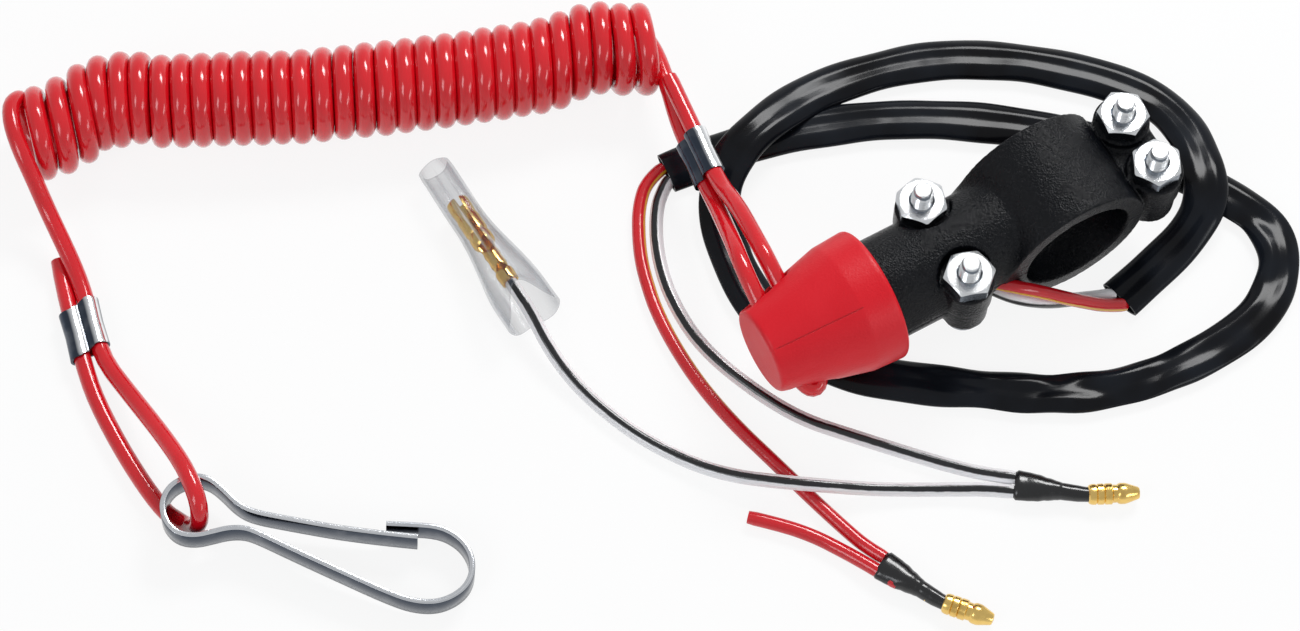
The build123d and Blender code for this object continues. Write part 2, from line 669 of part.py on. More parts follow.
# Female terminal and its clear insulator
frame = along_axis(INSULATOR_TOP, INSULATOR_SKIRT)
receptacle_end = TERMINAL_MOUTH + TERMINAL_LENGTH
crimp_end = receptacle_end + CRIMP_LENGTH
terminal = Pos(0, 0, (TERMINAL_MOUTH + receptacle_end) / 2) * Cylinder(TERMINAL_D / 2, TERMINAL_LENGTH)
terminal -= Pos(0, 0, (TERMINAL_MOUTH + receptacle_end) / 2 - 1) * Cylinder(TERMINAL_D / 2 - TERMINAL_WALL, TERMINAL_LENGTH)
terminal -= block(-TERMINAL_SLOT / 2, TERMINAL_SLOT / 2, 0, TERMINAL_D, TERMINAL_MOUTH - 1, receptacle_end - 1)
terminal += Pos(0, 0, (receptacle_end + crimp_end) / 2) * Cylinder(CRIMP_D / 2, CRIMP_LENGTH)
terminal += Pos(0, 0, crimp_end + GRIP_LENGTH / 2) * Cylinder(GRIP_D / 2, GRIP_LENGTH)
save("female_terminal", frame.location * terminal)

skirt_z = (Vector(*INSULATOR_SKIRT) - Vector(*INSULATOR_TOP)).length
outer = Polyline(
    (0, 0, 0),
    (INSULATOR_D / 2, 0, 0),
    (INSULATOR_D / 2, 0, INSULATOR_BODY),
    (INSULATOR_SKIRT_D / 2, 0, skirt_z),
    (INSULATOR_SKIRT_D / 2, 0, INSULATOR_LENGTH),
    (0, 0, INSULATOR_LENGTH),
    close=True,
)
inner = Polyline(
    (0, 0, -1),
    (INSULATOR_D / 2 - INSULATOR_WALL, 0, -1),
    (INSULATOR_D / 2 - INSULATOR_WALL, 0, INSULATOR_BODY),
    (INSULATOR_SKIRT_D / 2 - INSULATOR_WALL, 0, skirt_z),
    (INSULATOR_SKIRT_D / 2 - INSULATOR_WALL, 0, INSULATOR_LENGTH + 1),
    (0, 0, INSULATOR_LENGTH + 1),
    close=True,
)
insulator = revolve(make_face(outer), Axis.Z) - revolve(make_face(inner), Axis.Z)
insulator -= block(
    -INSULATOR_SLIT / 2,
    INSULATOR_SLIT / 2,
    -INSULATOR_SKIRT_D,
    0,
    INSULATOR_LENGTH - INSULATOR_SLIT_LENGTH,
    INSULATOR_LENGTH + 1,
)
save("clear_insulator", frame.location * insulator)
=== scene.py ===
"""Dresses the engine kill switch and its coiled lanyard, and sets up their picture."""
import logging
import math
from collections.abc import Callable, Sequence
from dataclasses import dataclass
from enum import Enum
from typing import Any

import bmesh
import bpy
from mathutils import Matrix, Vector


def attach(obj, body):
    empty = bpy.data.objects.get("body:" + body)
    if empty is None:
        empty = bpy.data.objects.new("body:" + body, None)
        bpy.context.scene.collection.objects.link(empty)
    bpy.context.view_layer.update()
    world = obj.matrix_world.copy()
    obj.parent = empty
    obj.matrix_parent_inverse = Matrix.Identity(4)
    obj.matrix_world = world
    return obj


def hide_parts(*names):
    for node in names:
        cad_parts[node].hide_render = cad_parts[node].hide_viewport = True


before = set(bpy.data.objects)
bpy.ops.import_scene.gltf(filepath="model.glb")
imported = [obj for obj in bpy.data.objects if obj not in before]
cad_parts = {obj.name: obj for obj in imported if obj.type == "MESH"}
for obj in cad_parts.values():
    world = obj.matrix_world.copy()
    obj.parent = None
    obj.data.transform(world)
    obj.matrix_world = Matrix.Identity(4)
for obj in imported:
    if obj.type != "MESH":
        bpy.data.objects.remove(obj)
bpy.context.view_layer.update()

LOG = logging.getLogger("kill_switch")
Route = tuple[tuple[float, ...], ...]
Place = tuple[float, float, float]
Colour = tuple[float, float, float]
Rows = Sequence[tuple[float, float]]
Section = Callable[[float, float], tuple[float, float]]

FLOOR_Z = -0.0179
UP = Vector((0.0, 0.0, 1.0))
SMALLEST_RADIUS = 1e-5
SAME_POINT = 1e-7
MILLIMETRE = 0.001
WRAP = "wrap"

# Routes of the cords, in metres, with one point for each bend
WIRE_RED_SWITCH: Route = (
    (-0.0308, -0.0041, 0.0), (-0.026, -0.004, -0.0002), (-0.0213, -0.0049, -0.0008),
    (-0.018, -0.0077, -0.0015), (-0.0146, -0.0104, -0.0021), (-0.0114, -0.0124, -0.0034),
    (-0.0082, -0.0139, -0.0056), (-0.005, -0.0156, -0.0078), (-0.0014, -0.0169, -0.0107),
    (0.0027, -0.0184, -0.0139), (0.0069, -0.0193, -0.0162),
)
WIRE_WHITE_SWITCH: Route = (
    (-0.0308, 0.0041, 0.0), (-0.0264, 0.0039, -0.0006), (-0.0226, 0.0014, -0.0024),
    (-0.02, -0.0034, -0.0042), (-0.0174, -0.0076, -0.0049), (-0.0146, -0.011, -0.0056),
    (-0.0114, -0.013, -0.007), (-0.0073, -0.014, -0.01), (-0.0028, -0.0143, -0.0132),
    (0.0017, -0.015, -0.0156), (0.0063, -0.0165, -0.0162),
)
SLEEVE_ROUTE: Route = (
    (0.0066, -0.0179, -0.01627), (0.0172, -0.0153, -0.01627), (0.0254, -0.0129, -0.0154),
    (0.0313, -0.0096, -0.0125), (0.0346, -0.003, -0.012), (0.0369, 0.0053, -0.0142),
    (0.0363, 0.0145, -0.01627), (0.031, 0.0225, -0.01627), (0.0231, 0.0305, -0.01627),
    (0.0139, 0.0379, -0.01627), (0.0018, 0.0447, -0.01627), (-0.011, 0.0482, -0.01627),
    (-0.0229, 0.0493, -0.0154), (-0.034, 0.0469, -0.0125), (-0.0436, 0.0437, -0.012),
    (-0.0498, 0.0388, -0.0142), (-0.0529, 0.0311, -0.01627), (-0.0548, 0.0211, -0.01627),
    (-0.0542, 0.0087, -0.01627), (-0.0484, -0.0041, -0.01627), (-0.0374, -0.0133, -0.01627),
    (-0.0272, -0.0204, -0.01627), (-0.0171, -0.0274, -0.01627), (-0.0051, -0.0331, -0.01627),
    (0.006, -0.0353, -0.01627), (0.0169, -0.0356, -0.01627), (0.0267, -0.0344, -0.01627),
    (0.0338, -0.0306, -0.01627), (0.0389, -0.0249, -0.01627), (0.0402, -0.0176, -0.01627),
    (0.0372, -0.0104, -0.01627), (0.0312, 0.0009, -0.01627), (0.0227, 0.0112, -0.01627),
    (0.0126, 0.0208, -0.01627), (0.0016, 0.0292, -0.01627), (-0.0101, 0.0362, -0.01627),
    (-0.021, 0.041, -0.01627), (-0.0324, 0.0446, -0.01627), (-0.0445, 0.0471, -0.01627),
    (-0.056, 0.048, -0.01627),
)
WIRE_RED_LEAD: Route = (
    (-0.0559, 0.04942, -0.01627), (-0.0601, 0.0486, -0.0164), (-0.0643, 0.0442, -0.01655),
    (-0.0673, 0.0388, -0.01655), (-0.0695, 0.0337, -0.01655), (-0.0709, 0.0286, -0.01655),
    (-0.072, 0.0233, -0.01655), (-0.0726, 0.0156, -0.01655), (-0.0723, 0.0058, -0.01655),
    (-0.0706, -0.0046, -0.01655), (-0.0679, -0.0148, -0.01655), (-0.0653, -0.0251, -0.01655),
    (-0.0629, -0.0336, -0.0165), (-0.0615, -0.0382, -0.0161), (-0.05973, -0.04176, -0.0157),
)
WIRE_WHITE_LEAD: Route = (
    (-0.0561, 0.04658, -0.01627), (-0.0595, 0.0446, -0.0164), (-0.0633, 0.0394, -0.01655),
    (-0.0666, 0.032, -0.01655), (-0.0684, 0.0236, -0.01655), (-0.0683, 0.0127, -0.01655),
    (-0.0643, 0.0006, -0.01655), (-0.0592, -0.0095, -0.01655), (-0.0527, -0.0169, -0.01655),
    (-0.0461, -0.0243, -0.01655), (-0.0394, -0.0316, -0.0165), (-0.0339, -0.0369, -0.0161),
    (-0.03023, -0.03978, -0.0157),
)
WIRE_WHITE_BRANCH: Route = (
    (-0.09427, 0.0405, -0.01229), (-0.094, 0.0362, -0.0121), (-0.0939, 0.0316, -0.013),
    (-0.0941, 0.0258, -0.0142), (-0.0933, 0.019, -0.0157), (-0.0913, 0.0114, -0.0165),
    (-0.0875, 0.0018, -0.0165), (-0.0819, -0.0074, -0.0162), (-0.0764, -0.014, -0.015),
    (-0.0702, -0.0194, -0.0135), (-0.0629, -0.0244, -0.0135), (-0.0556, -0.0283, -0.0156),
    (-0.0472, -0.0327, -0.0165), (-0.0406, -0.0363, -0.0165), (-0.0355, -0.0393, -0.0161),
    (-0.03197, -0.04202, -0.0157),
)
WIRE_RED_BRANCH: Route = (
    (-0.0777, -0.022, -0.01655), (-0.0728, -0.0266, -0.01655), (-0.0687, -0.0315, -0.01655),
    (-0.066, -0.0359, -0.0165), (-0.0641, -0.0394, -0.0161), (-0.06227, -0.04304, -0.0157),
)
LANYARD_CAP_LEAD: Route = (
    (-0.05, 0.0775, -0.0115), (-0.0466, 0.0752, -0.0106), (-0.0466, 0.0707, -0.0092),
    (-0.0473, 0.066, -0.0084), (-0.0486, 0.0605, -0.0079), (-0.05, 0.0556, -0.0077),
    (-0.05126, 0.05015, -0.0077), (-0.05294, 0.03625, -0.0077), (-0.0542, 0.0309, -0.0043),
    (-0.0575, 0.019, 0.0043), (-0.059, 0.01269, 0.00592), (-0.059, -0.00045, -0.00021),
)
LANYARD_CAP_TAIL: Route = (
    (-0.059, -0.00045, -0.00021), (-0.059, -0.00961, -0.00448), (-0.054, -0.00961, -0.00448),
    (-0.054, 0.01269, 0.00592), (-0.0532, 0.0194, 0.0043), (-0.0519, 0.0282, 0.0009),
    (-0.05132, 0.03625, -0.00429), (-0.04964, 0.05015, -0.00429), (-0.0492, 0.0544, -0.00415),
    (-0.0485, 0.0606, -0.004),
)
LANYARD_HOOK_LEAD: Route = (
    (-0.1599, 0.1174, -0.0038), (-0.1623, 0.1159, -0.0017), (-0.164, 0.1118, -0.001),
    (-0.1648, 0.1066, -0.0023), (-0.1649, 0.1016, -0.006), (-0.1651, 0.0966, -0.0106),
    (-0.1653, 0.0906, -0.0123), (-0.1655, 0.0855, -0.0141), (-0.16609, 0.07982, -0.01555),
    (-0.16907, 0.06596, -0.01555), (-0.1681, 0.0575, -0.014), (-0.167, 0.0485, -0.0114),
    (-0.1662, 0.0405, -0.0088), (-0.1659, 0.033, -0.0064), (-0.1667, 0.0262, -0.0066),
    (-0.1682, 0.024, -0.0112), (-0.1698, 0.0264, -0.0155), (-0.17105, 0.029, -0.01585),
)
LANYARD_HOOK_TAIL: Route = (
    (-0.17105, 0.029, -0.01585), (-0.1723, 0.0316, -0.0162), (-0.1733, 0.038, -0.0162),
    (-0.1739, 0.0475, -0.0162), (-0.1738, 0.058, -0.0161), (-0.17282, 0.06501, -0.01555),
    (-0.16988, 0.07869, -0.01555), (-0.1688, 0.083, -0.0161), (-0.1674, 0.0883, -0.0162),
)
# The hook's strip in its own plane, from its latch round the eye to its gate
HOOK_STRIP: Route = (
    (0.0429, 0.0015), (0.0319, 0.0006), (0.0173, 0.0007), (0.0116, 0.0009),
    (0.0086, 0.0021), (0.0059, 0.0041), (0.0033, 0.0057), (0.0007, 0.0061),
    (-0.0019, 0.0051), (-0.0039, 0.0032), (-0.0047, 0.0006), (-0.0043, -0.002),
    (-0.0029, -0.0043), (-0.0005, -0.0058), (0.0026, -0.0057), (0.0055, -0.0044),
    (0.0082, -0.0031), (0.0111, -0.0025), (0.0139, -0.003), (0.02, -0.0048),
    (0.03, -0.0076), (0.0388, -0.01), (0.0439, -0.011), (0.0482, -0.0106),
    (0.0513, -0.0089), (0.0535, -0.0063), (0.0541, -0.0032), (0.0532, -0.0001),
    (0.0511, 0.0023), (0.0483, 0.0037), (0.0454, 0.0041), (0.0411, 0.0036),
    (0.0367, 0.003),
)


class Steering(Enum):
    """How a swept section keeps its upright direction."""

    LEVEL = "level"
    CARRIED = "carried"


class Line:
    """A smooth line with the frame of a section at each of its points."""

    def __init__(self, points: Sequence[Vector], steering: Steering = Steering.LEVEL) -> None:
        """Works out the tangents, uprights and stations.

        Args:
            points: The points of the line, in order.
            steering: How the upright direction is kept.
        """
        self.points = [Vector(point) for point in points]
        self.tangents = self._tangents()
        self.uprights = self._uprights(steering)
        self.stations = [0.0]
        for here, there in zip(self.points, self.points[1:]):
            self.stations.append(self.stations[-1] + (there - here).length)

    @classmethod
    def smooth(
        cls, route: Sequence[Sequence[float]], resolution: int, steering: Steering = Steering.LEVEL
    ) -> "Line":
        """Reads the points of a route's smooth spline.

        Args:
            route: The control points, in metres.
            resolution: How many points the spline has for each control point.
            steering: How the upright direction is kept.

        Returns:
            The line through the spline's points.
        """
        curve = bpy.data.curves.new("guide", "CURVE")
        curve.dimensions = "3D"
        curve.resolution_u = resolution
        spline = curve.splines.new("NURBS")
        spline.points.add(len(route) - 1)
        for knot, point in zip(spline.points, route):
            knot.co = (*point, 1.0)
        spline.order_u = 3
        spline.use_endpoint_u = True
        guide = bpy.data.objects.new("guide", curve)
        bpy.context.scene.collection.objects.link(guide)
        mesh = bpy.data.meshes.new_from_object(guide)
        points = [vertex.co.copy() for vertex in mesh.vertices]
        bpy.data.objects.remove(guide)
        bpy.data.curves.remove(curve)
        bpy.data.meshes.remove(mesh)
        return cls(points, steering)

    @property
    def length(self) -> float:
        """The whole length."""
        return self.stations[-1]

    def _tangents(self) -> list[Vector]:
        """The direction at each point.

        Returns:
            The tangents.
        """
        found = []
        last = len(self.points) - 1
        for index in range(last + 1):
            before = self.points[max(index - 1, 0)]
            after = self.points[min(index + 1, last)]
            found.append((after - before).normalized())
        return found

    def _uprights(self, steering: Steering) -> list[Vector]:
        """The upright direction at each point, square to the tangent.

        Args:
            steering: How it is kept.

        Returns:
            One unit vector for each point.
        """
        found: list[Vector] = []
        for tangent in self.tangents:
            carried = found[-1] if found else UP
            start = UP if steering is Steering.LEVEL else carried
            upright = start - tangent * start.dot(tangent)
            if upright.length < 0.15:
                upright = carried - tangent * carried.dot(tangent)
            if upright.length < 1e-6:
                upright = tangent.orthogonal()
            found.append(upright.normalized())
        return found

    def place(self, index: int, across: float, up: float) -> Vector:
        """A point of the section at one of the line's points.

        Args:
            index: Which point of the line.
            across: Distance to the right of the line, seen along it.
            up: Distance along the upright direction.

        Returns:
            The point in the model's frame.
        """
        right = self.tangents[index].cross(self.uprights[index])
        return self.points[index] + right * across + self.uprights[index] * up

    def nearest(self, point: Sequence[float]) -> float:
        """The distance along the line at its point nearest to a place.

        Args:
            point: The place.

        Returns:
            The distance.
        """
        spot = Vector(point)
        nearest = min(range(len(self.points)), key=lambda index: (self.points[index] - spot).length_squared)
        return self.stations[nearest]


class Skin:
    """A mesh made of rings of points that are joined one after the other."""

    def __init__(self, name: str) -> None:
        """Starts an empty mesh.

        Args:
            name: The name of the piece.
        """
        self.name = name
        self.mesh = bmesh.new()
        self.wrap = self.mesh.loops.layers.uv.new(WRAP)

    def ring(self, points: Sequence[Vector]) -> list[bmesh.types.BMVert]:
        """Adds the points of one ring.

        Args:
            points: The ring's points, in order round it.

        Returns:
            The ring's vertices.
        """
        return [self.mesh.verts.new(point) for point in points]

    def join(
        self,
        first: list[bmesh.types.BMVert],
        second: list[bmesh.types.BMVert],
        low: float,
        high: float,
    ) -> None:
        """Joins two rings with a band of faces.

        Args:
            first: One ring.
            second: The next ring, with as many points.
            low: Distance along the piece at the first ring.
            high: Distance along the piece at the second ring.
        """
        count = len(first)
        for index in range(count):
            after = (index + 1) % count
            face = self.mesh.faces.new((first[index], first[after], second[after], second[index]))
            turn, turn_after = index / count, (index + 1) / count
            spots = ((turn, low), (turn_after, low), (turn_after, high), (turn, high))
            for loop, spot in zip(face.loops, spots):
                loop[self.wrap].uv = spot

    def tube(
        self, rings: Sequence[Sequence[Vector]], stations: Sequence[float], capped: bool = True
    ) -> None:
        """Adds a band of rings, with flat ends if it is capped.

        Args:
            rings: The points of each ring.
            stations: Distance along the piece at each ring.
            capped: Whether the first and last ring are filled.
        """
        made = [self.ring(points) for points in rings]
        for first, second, low, high in zip(made, made[1:], stations, stations[1:]):
            self.join(first, second, low, high)
        if capped:
            for ring, station in ((made[0], stations[0]), (made[-1], stations[-1])):
                face = self.mesh.faces.new(ring)
                for loop in face.loops:
                    loop[self.wrap].uv = (0.0, station)

    def piece(self, sharp: float = 40.0) -> bpy.types.Object:
        """Makes the object, with smooth faces and sharp edges over an angle.

        Args:
            sharp: The angle over which an edge stays sharp, in degrees.

        Returns:
            The new object.
        """
        bmesh.ops.recalc_face_normals(self.mesh, faces=self.mesh.faces)
        data = bpy.data.meshes.new(self.name)
        self.mesh.to_mesh(data)
        self.mesh.free()
        data.polygons.foreach_set("use_smooth", [True] * len(data.polygons))
        data.set_sharp_from_angle(angle=math.radians(sharp))
        made = bpy.data.objects.new(self.name, data)
        bpy.context.scene.collection.objects.link(made)
        return made


def sweep(skin: Skin, line: Line, section: Section, sides: int) -> None:
    """Adds a closed tube along a line.

    Args:
        skin: The mesh that it is added to.
        line: The line that it follows.
        section: Gives the place in the section for a station and a share of the turn.
        sides: How many points each ring has.
    """
    rings = [
        [line.place(index, *section(station, side / sides)) for side in range(sides)]
        for index, station in enumerate(line.stations)
    ]
    skin.tube(rings, line.stations)


def turned(skin: Skin, start: Vector, end: Vector, outline: Rows, sides: int = 32) -> None:
    """Adds a solid turned about an axis.

    Args:
        skin: The mesh that it is added to.
        start: The axis's first point, where the outline's stations start.
        end: A second point of the axis.
        outline: Pairs of a station along the axis and a radius.
        sides: How many points each ring has.
    """
    along = (end - start).normalized()
    right = along.orthogonal().normalized()
    forward = along.cross(right)
    angles = [math.tau * side / sides for side in range(sides)]
    spokes = [right * math.cos(angle) + forward * math.sin(angle) for angle in angles]
    rings = [
        [start + along * station + spoke * max(radius, SMALLEST_RADIUS) for spoke in spokes]
        for station, radius in outline
    ]
    skin.tube(rings, [station for station, _ in outline])


def ramp(value: float, low: float, high: float) -> float:
    """A smooth step from 0 to 1.

    Args:
        value: The number to test.
        low: Where the step starts.
        high: Where it ends.

    Returns:
        0 below the step, 1 above it, and a smooth share between.
    """
    share = min(max((value - low) / (high - low), 0.0), 1.0)
    return share * share * (3 - 2 * share)


def along_table(rows: Rows, station: float) -> float:
    """Reads a table of numbers with smooth steps between its rows.

    Args:
        rows: Pairs of a station and a number, in order.
        station: Where the table is read.

    Returns:
        The number there.
    """
    if station <= rows[0][0]:
        return rows[0][1]
    for (low, first), (high, second) in zip(rows, rows[1:]):
        if station <= high:
            return first + (second - first) * ramp(station, low, high)
    return rows[-1][1]


def between(rows: Route, key: float) -> tuple[float, ...]:
    """Reads rows of numbers with straight steps between them.

    Args:
        rows: Rows that start with a key, in order.
        key: Where they are read.

    Returns:
        The other numbers of the row at the key.
    """
    for (low, *first), (high, *second) in zip(rows, rows[1:]):
        if key <= high or high == rows[-1][0]:
            share = (key - low) / (high - low)
            return tuple(a + (b - a) * share for a, b in zip(first, second))
    return tuple(rows[-1][1:])


class Shade:
    """A socket in shader maths, which adds Math nodes as it is used."""

    def __init__(self, paint: "Paint", socket: bpy.types.NodeSocket | None) -> None:
        """Wraps a socket.

        Args:
            paint: The material that the socket is in.
            socket: The output socket.
        """
        self.paint = paint
        self.socket = socket

    def _maths(self, operation: str, *values: "Shade | float") -> "Shade":
        """Adds one Math node.

        Args:
            operation: The node's operation.
            *values: Its inputs, in order.

        Returns:
            The node's result.
        """
        return self.paint.node("ShaderNodeMath", {"operation": operation}, dict(enumerate(values)))

    def __add__(self, other: "Shade | float") -> "Shade":
        """Adds."""
        return self._maths("ADD", self, other)

    __radd__ = __add__

    def __sub__(self, other: "Shade | float") -> "Shade":
        """Takes away."""
        return self._maths("SUBTRACT", self, other)

    def __rsub__(self, other: float) -> "Shade":
        """Takes this away from a number."""
        return self._maths("SUBTRACT", other, self)

    def __mul__(self, other: "Shade | float") -> "Shade":
        """Multiplies."""
        return self._maths("MULTIPLY", self, other)

    __rmul__ = __mul__

    def __truediv__(self, other: "Shade | float") -> "Shade":
        """Divides."""
        return self._maths("DIVIDE", self, other)

    def __pow__(self, other: "Shade | float") -> "Shade":
        """Raises to a power."""
        return self._maths("POWER", self, other)

    def __abs__(self) -> "Shade":
        """The size of the number without its sign."""
        return self._maths("ABSOLUTE", self)

    def clipped(self) -> "Shade":
        """The value kept between 0 and 1."""
        return self.paint.node("ShaderNodeClamp", {}, {0: self})

    def step(self, low: float, high: float) -> "Shade":
        """A soft step from 0 to 1.

        Args:
            low: Where the step starts.
            high: Where it ends.

        Returns:
            The stepped value.
        """
        return ((self - low) / (high - low)).clipped()

    def most(self, other: "Shade | float") -> "Shade":
        """The larger of two values."""
        return self._maths("MAXIMUM", self, other)


class Paint:
    """A material or world with its nodes, and one method that makes any node."""

    def __init__(self, holder: bpy.types.Material | bpy.types.World) -> None:
        """Empties the holder's node tree.

        Args:
            holder: The material or world.
        """
        self.holder = holder
        holder.use_nodes = True
        self.tree = holder.node_tree
        self.tree.nodes.clear()

    @classmethod
    def material(cls, name: str) -> "Paint":
        """Starts a new material of that name."""
        return cls(bpy.data.materials.new(name))

    def node(
        self,
        kind: str,
        settings: dict[str, Any] | None = None,
        inputs: dict[str | int, Any] | None = None,
        output: str | int = 0,
    ) -> Shade:
        """Makes one node of any kind.

        Args:
            kind: The node's type.
            settings: The node's own settings, which are set first.
            inputs: Values or links for its sockets.
            output: Which output is given back.

        Returns:
            The wrapped output socket.
        """
        made = self.tree.nodes.new(kind)
        for key, value in (settings or {}).items():
            setattr(made, key, value)
        for key, value in (inputs or {}).items():
            socket = made.inputs[key]
            if isinstance(value, Shade):
                self.tree.links.new(value.socket, socket)
            elif socket.type == "RGBA" and len(value) == 3:
                socket.default_value = (*value, 1.0)
            else:
                socket.default_value = value
        return Shade(self, made.outputs[output] if made.outputs else None)

    def blend(self, share: Shade | float, first: Shade | Colour, second: Shade | Colour) -> Shade:
        """Mixes two colours.

        Args:
            share: How much of the second colour shows.
            first: The first colour.
            second: The second colour.

        Returns:
            The mixed colour.
        """
        return self.node("ShaderNodeMix", {"data_type": "RGBA"}, {0: share, 6: first, 7: second}, 2)

    def spot(self) -> Shade:
        """The place on the object, in metres."""
        return self.node("ShaderNodeTexCoord", output="Object")

    def cloud(self, size: float, detail: float = 2.0, place: Shade | None = None) -> Shade:
        """Soft noise from 0 to 1.

        Args:
            size: The size of its spots, in metres.
            detail: How many finer layers it has.
            place: Where it is read, if not at the place on the object.

        Returns:
            The noise.
        """
        where = place or self.spot()
        return self.node("ShaderNodeTexNoise", {}, {"Vector": where, "Scale": 1.0 / size, "Detail": detail})

    def wrap(self) -> tuple[Shade, Shade]:
        """The place on a tube's skin.

        Returns:
            The share of the turn round it and the distance along it.
        """
        spot = self.node("ShaderNodeUVMap", {"uv_map": WRAP})
        turn = self.node("ShaderNodeSeparateXYZ", {}, {0: spot}, 0)
        return turn, Shade(self, turn.socket.node.outputs[1])

    def stretched(self, around: float, along: float) -> Shade:
        """Noise coordinates on a tube, drawn out along it.

        Args:
            around: Spots in one turn.
            along: Spots in a metre of length.

        Returns:
            The coordinates.
        """
        turn, station = self.wrap()
        angle = turn * math.tau
        sine = self.node("ShaderNodeMath", {"operation": "SINE"}, {0: angle})
        cosine = self.node("ShaderNodeMath", {"operation": "COSINE"}, {0: angle})
        reach = around / math.tau
        parts = {0: sine * reach, 1: cosine * reach, 2: station * along}
        return self.node("ShaderNodeCombineXYZ", {}, parts)

    def relief(self, height: Shade, depth: float) -> Shade:
        """A bump from a height.

        Args:
            height: The height, from 0 to 1.
            depth: The height of 1, in metres.

        Returns:
            The normal.
        """
        return self.node("ShaderNodeBump", {}, {"Height": height, "Distance": depth, "Strength": 1.0})

    def surface(self, values: dict[str | int, Any]) -> bpy.types.Material:
        """Ends the material with its main shader.

        Args:
            values: Values or links for the shader's sockets.

        Returns:
            The material.
        """
        shader = self.node("ShaderNodeBsdfPrincipled", {}, values)
        self.node("ShaderNodeOutputMaterial", {}, {"Surface": shader})
        return self.holder


@dataclass(frozen=True)
class Moulding:
    """Grained moulded plastic, with a parting line if it has one."""

    name: str
    colour: Colour
    pale: Colour
    roughness: float
    grain: float
    depth: float
    gloss: float = 0.5
    patch: float = 0.006
    pit_share: float = 1.6
    seam_turn: float | None = None
    seam_x: tuple[float, float, float, float] = (-0.0624, -0.0615, -0.0452, -0.0447)
    seam_edge: tuple[float, float] = (0.00006, 0.00017)
    seam_shade: float = 0.35

    def _seam(self, paint: Paint) -> Shade:
        """The thin parting line along the upper near side.

        Args:
            paint: The material.

        Returns:
            The mask, which is 1 on the line.
        """
        place = paint.node("ShaderNodeSeparateXYZ", {}, {0: paint.spot()})
        x, y, z = (Shade(paint, output) for output in place.socket.node.outputs)
        turn = math.radians(self.seam_turn)
        away = abs(y * math.sin(turn) + z * math.cos(turn))
        start, full, fade, end = self.seam_x
        line = (1 - away.step(*self.seam_edge)) * z.step(0.0, 0.001)
        return line * x.step(start, full) * (1 - x.step(fade, end))

    def material(self) -> bpy.types.Material:
        """Makes the material.

        Returns:
            The material.
        """
        paint = Paint.material(self.name)
        broad = paint.cloud(self.patch, 3.0)
        grain = paint.cloud(self.grain, 2.0)
        pit_scale = 1.0 / (self.pit_share * self.grain)
        pits = paint.node("ShaderNodeTexVoronoi", {}, {"Vector": paint.spot(), "Scale": pit_scale})
        height = grain * 0.6 + pits * 0.4
        colour = paint.blend((broad * 0.7 + grain * 0.5 - 0.3).clipped(), self.colour, self.pale)
        if self.seam_turn is not None:
            # Painted shade on the parting line: besides its bump, its colour is darkened as if shaded in its
            # groove
            seam = self._seam(paint)
            colour = paint.blend(seam * 0.3, colour, tuple(self.seam_shade * part for part in self.colour))
            height = height - seam * 2.0
        return paint.surface({
            "Base Color": colour,
            "Roughness": (self.roughness + (broad - 0.5) * 0.16).clipped(),
            "Specular IOR Level": self.gloss,
            "Normal": paint.relief(height, self.depth),
        })


@dataclass(frozen=True)
class Jacket:
    """The glossy jacket of a cord or wire, with a tracer line if it has one."""

    name: str
    colour: Colour
    deep: Colour
    roughness: float = 0.16
    coat: float = 0.35
    tracer: Colour | None = None
    tracer_share: float = 0.1
    tracer_blur: float = 0.012
    patch: float = 0.009
    speck: float = 0.0011
    depth: float = 0.00018

    def material(self) -> bpy.types.Material:
        """Makes the material.

        Returns:
            The material.
        """
        paint = Paint.material(self.name)
        broad = paint.cloud(self.patch, 2.0)
        fine = paint.cloud(self.speck, 2.0)
        colour = paint.blend((broad * 1.2 - 0.1).clipped(), self.colour, self.deep)
        if self.tracer is not None:
            turn, _ = paint.wrap()
            edge = self.tracer_share / 2
            wander = (paint.cloud(0.002, 2.0) - 0.5) * 0.03
            line = 1 - abs(turn - 0.5 + wander).step(edge - self.tracer_blur, edge + self.tracer_blur)
            colour = paint.blend(line, colour, self.tracer)
        return paint.surface({
            "Base Color": colour,
            "Roughness": (self.roughness + (fine - 0.5) * 0.1).clipped(),
            "Coat Weight": self.coat,
            "Coat Roughness": 0.06,
            "Normal": paint.relief(broad + fine * 0.25, self.depth),
        })


@dataclass(frozen=True)
class SleeveVinyl:
    """Thin glossy black vinyl with soft creases."""

    name: str = "sleeve_vinyl"
    colour: Colour = (0.003, 0.003, 0.004)
    pale: Colour = (0.011, 0.014, 0.020)
    roughness: float = 0.14
    patch: float = 0.011
    creases_round: float = 2.4
    creases_along: float = 60.0
    depth: float = 0.00028

    def material(self) -> bpy.types.Material:
        """Makes the material.

        Returns:
            The material.
        """
        paint = Paint.material(self.name)
        broad = paint.cloud(self.patch, 2.0)
        creases = paint.cloud(1.0, 2.0, paint.stretched(self.creases_round, self.creases_along))
        return paint.surface({
            "Base Color": paint.blend(broad.step(0.35, 0.8), self.colour, self.pale),
            "Roughness": (self.roughness + broad * 0.08).clipped(),
            "Specular IOR Level": 0.14,
            "Coat Weight": 0.05,
            "Coat Roughness": 0.08,
            "Normal": paint.relief(creases + broad * 0.6, self.depth),
        })


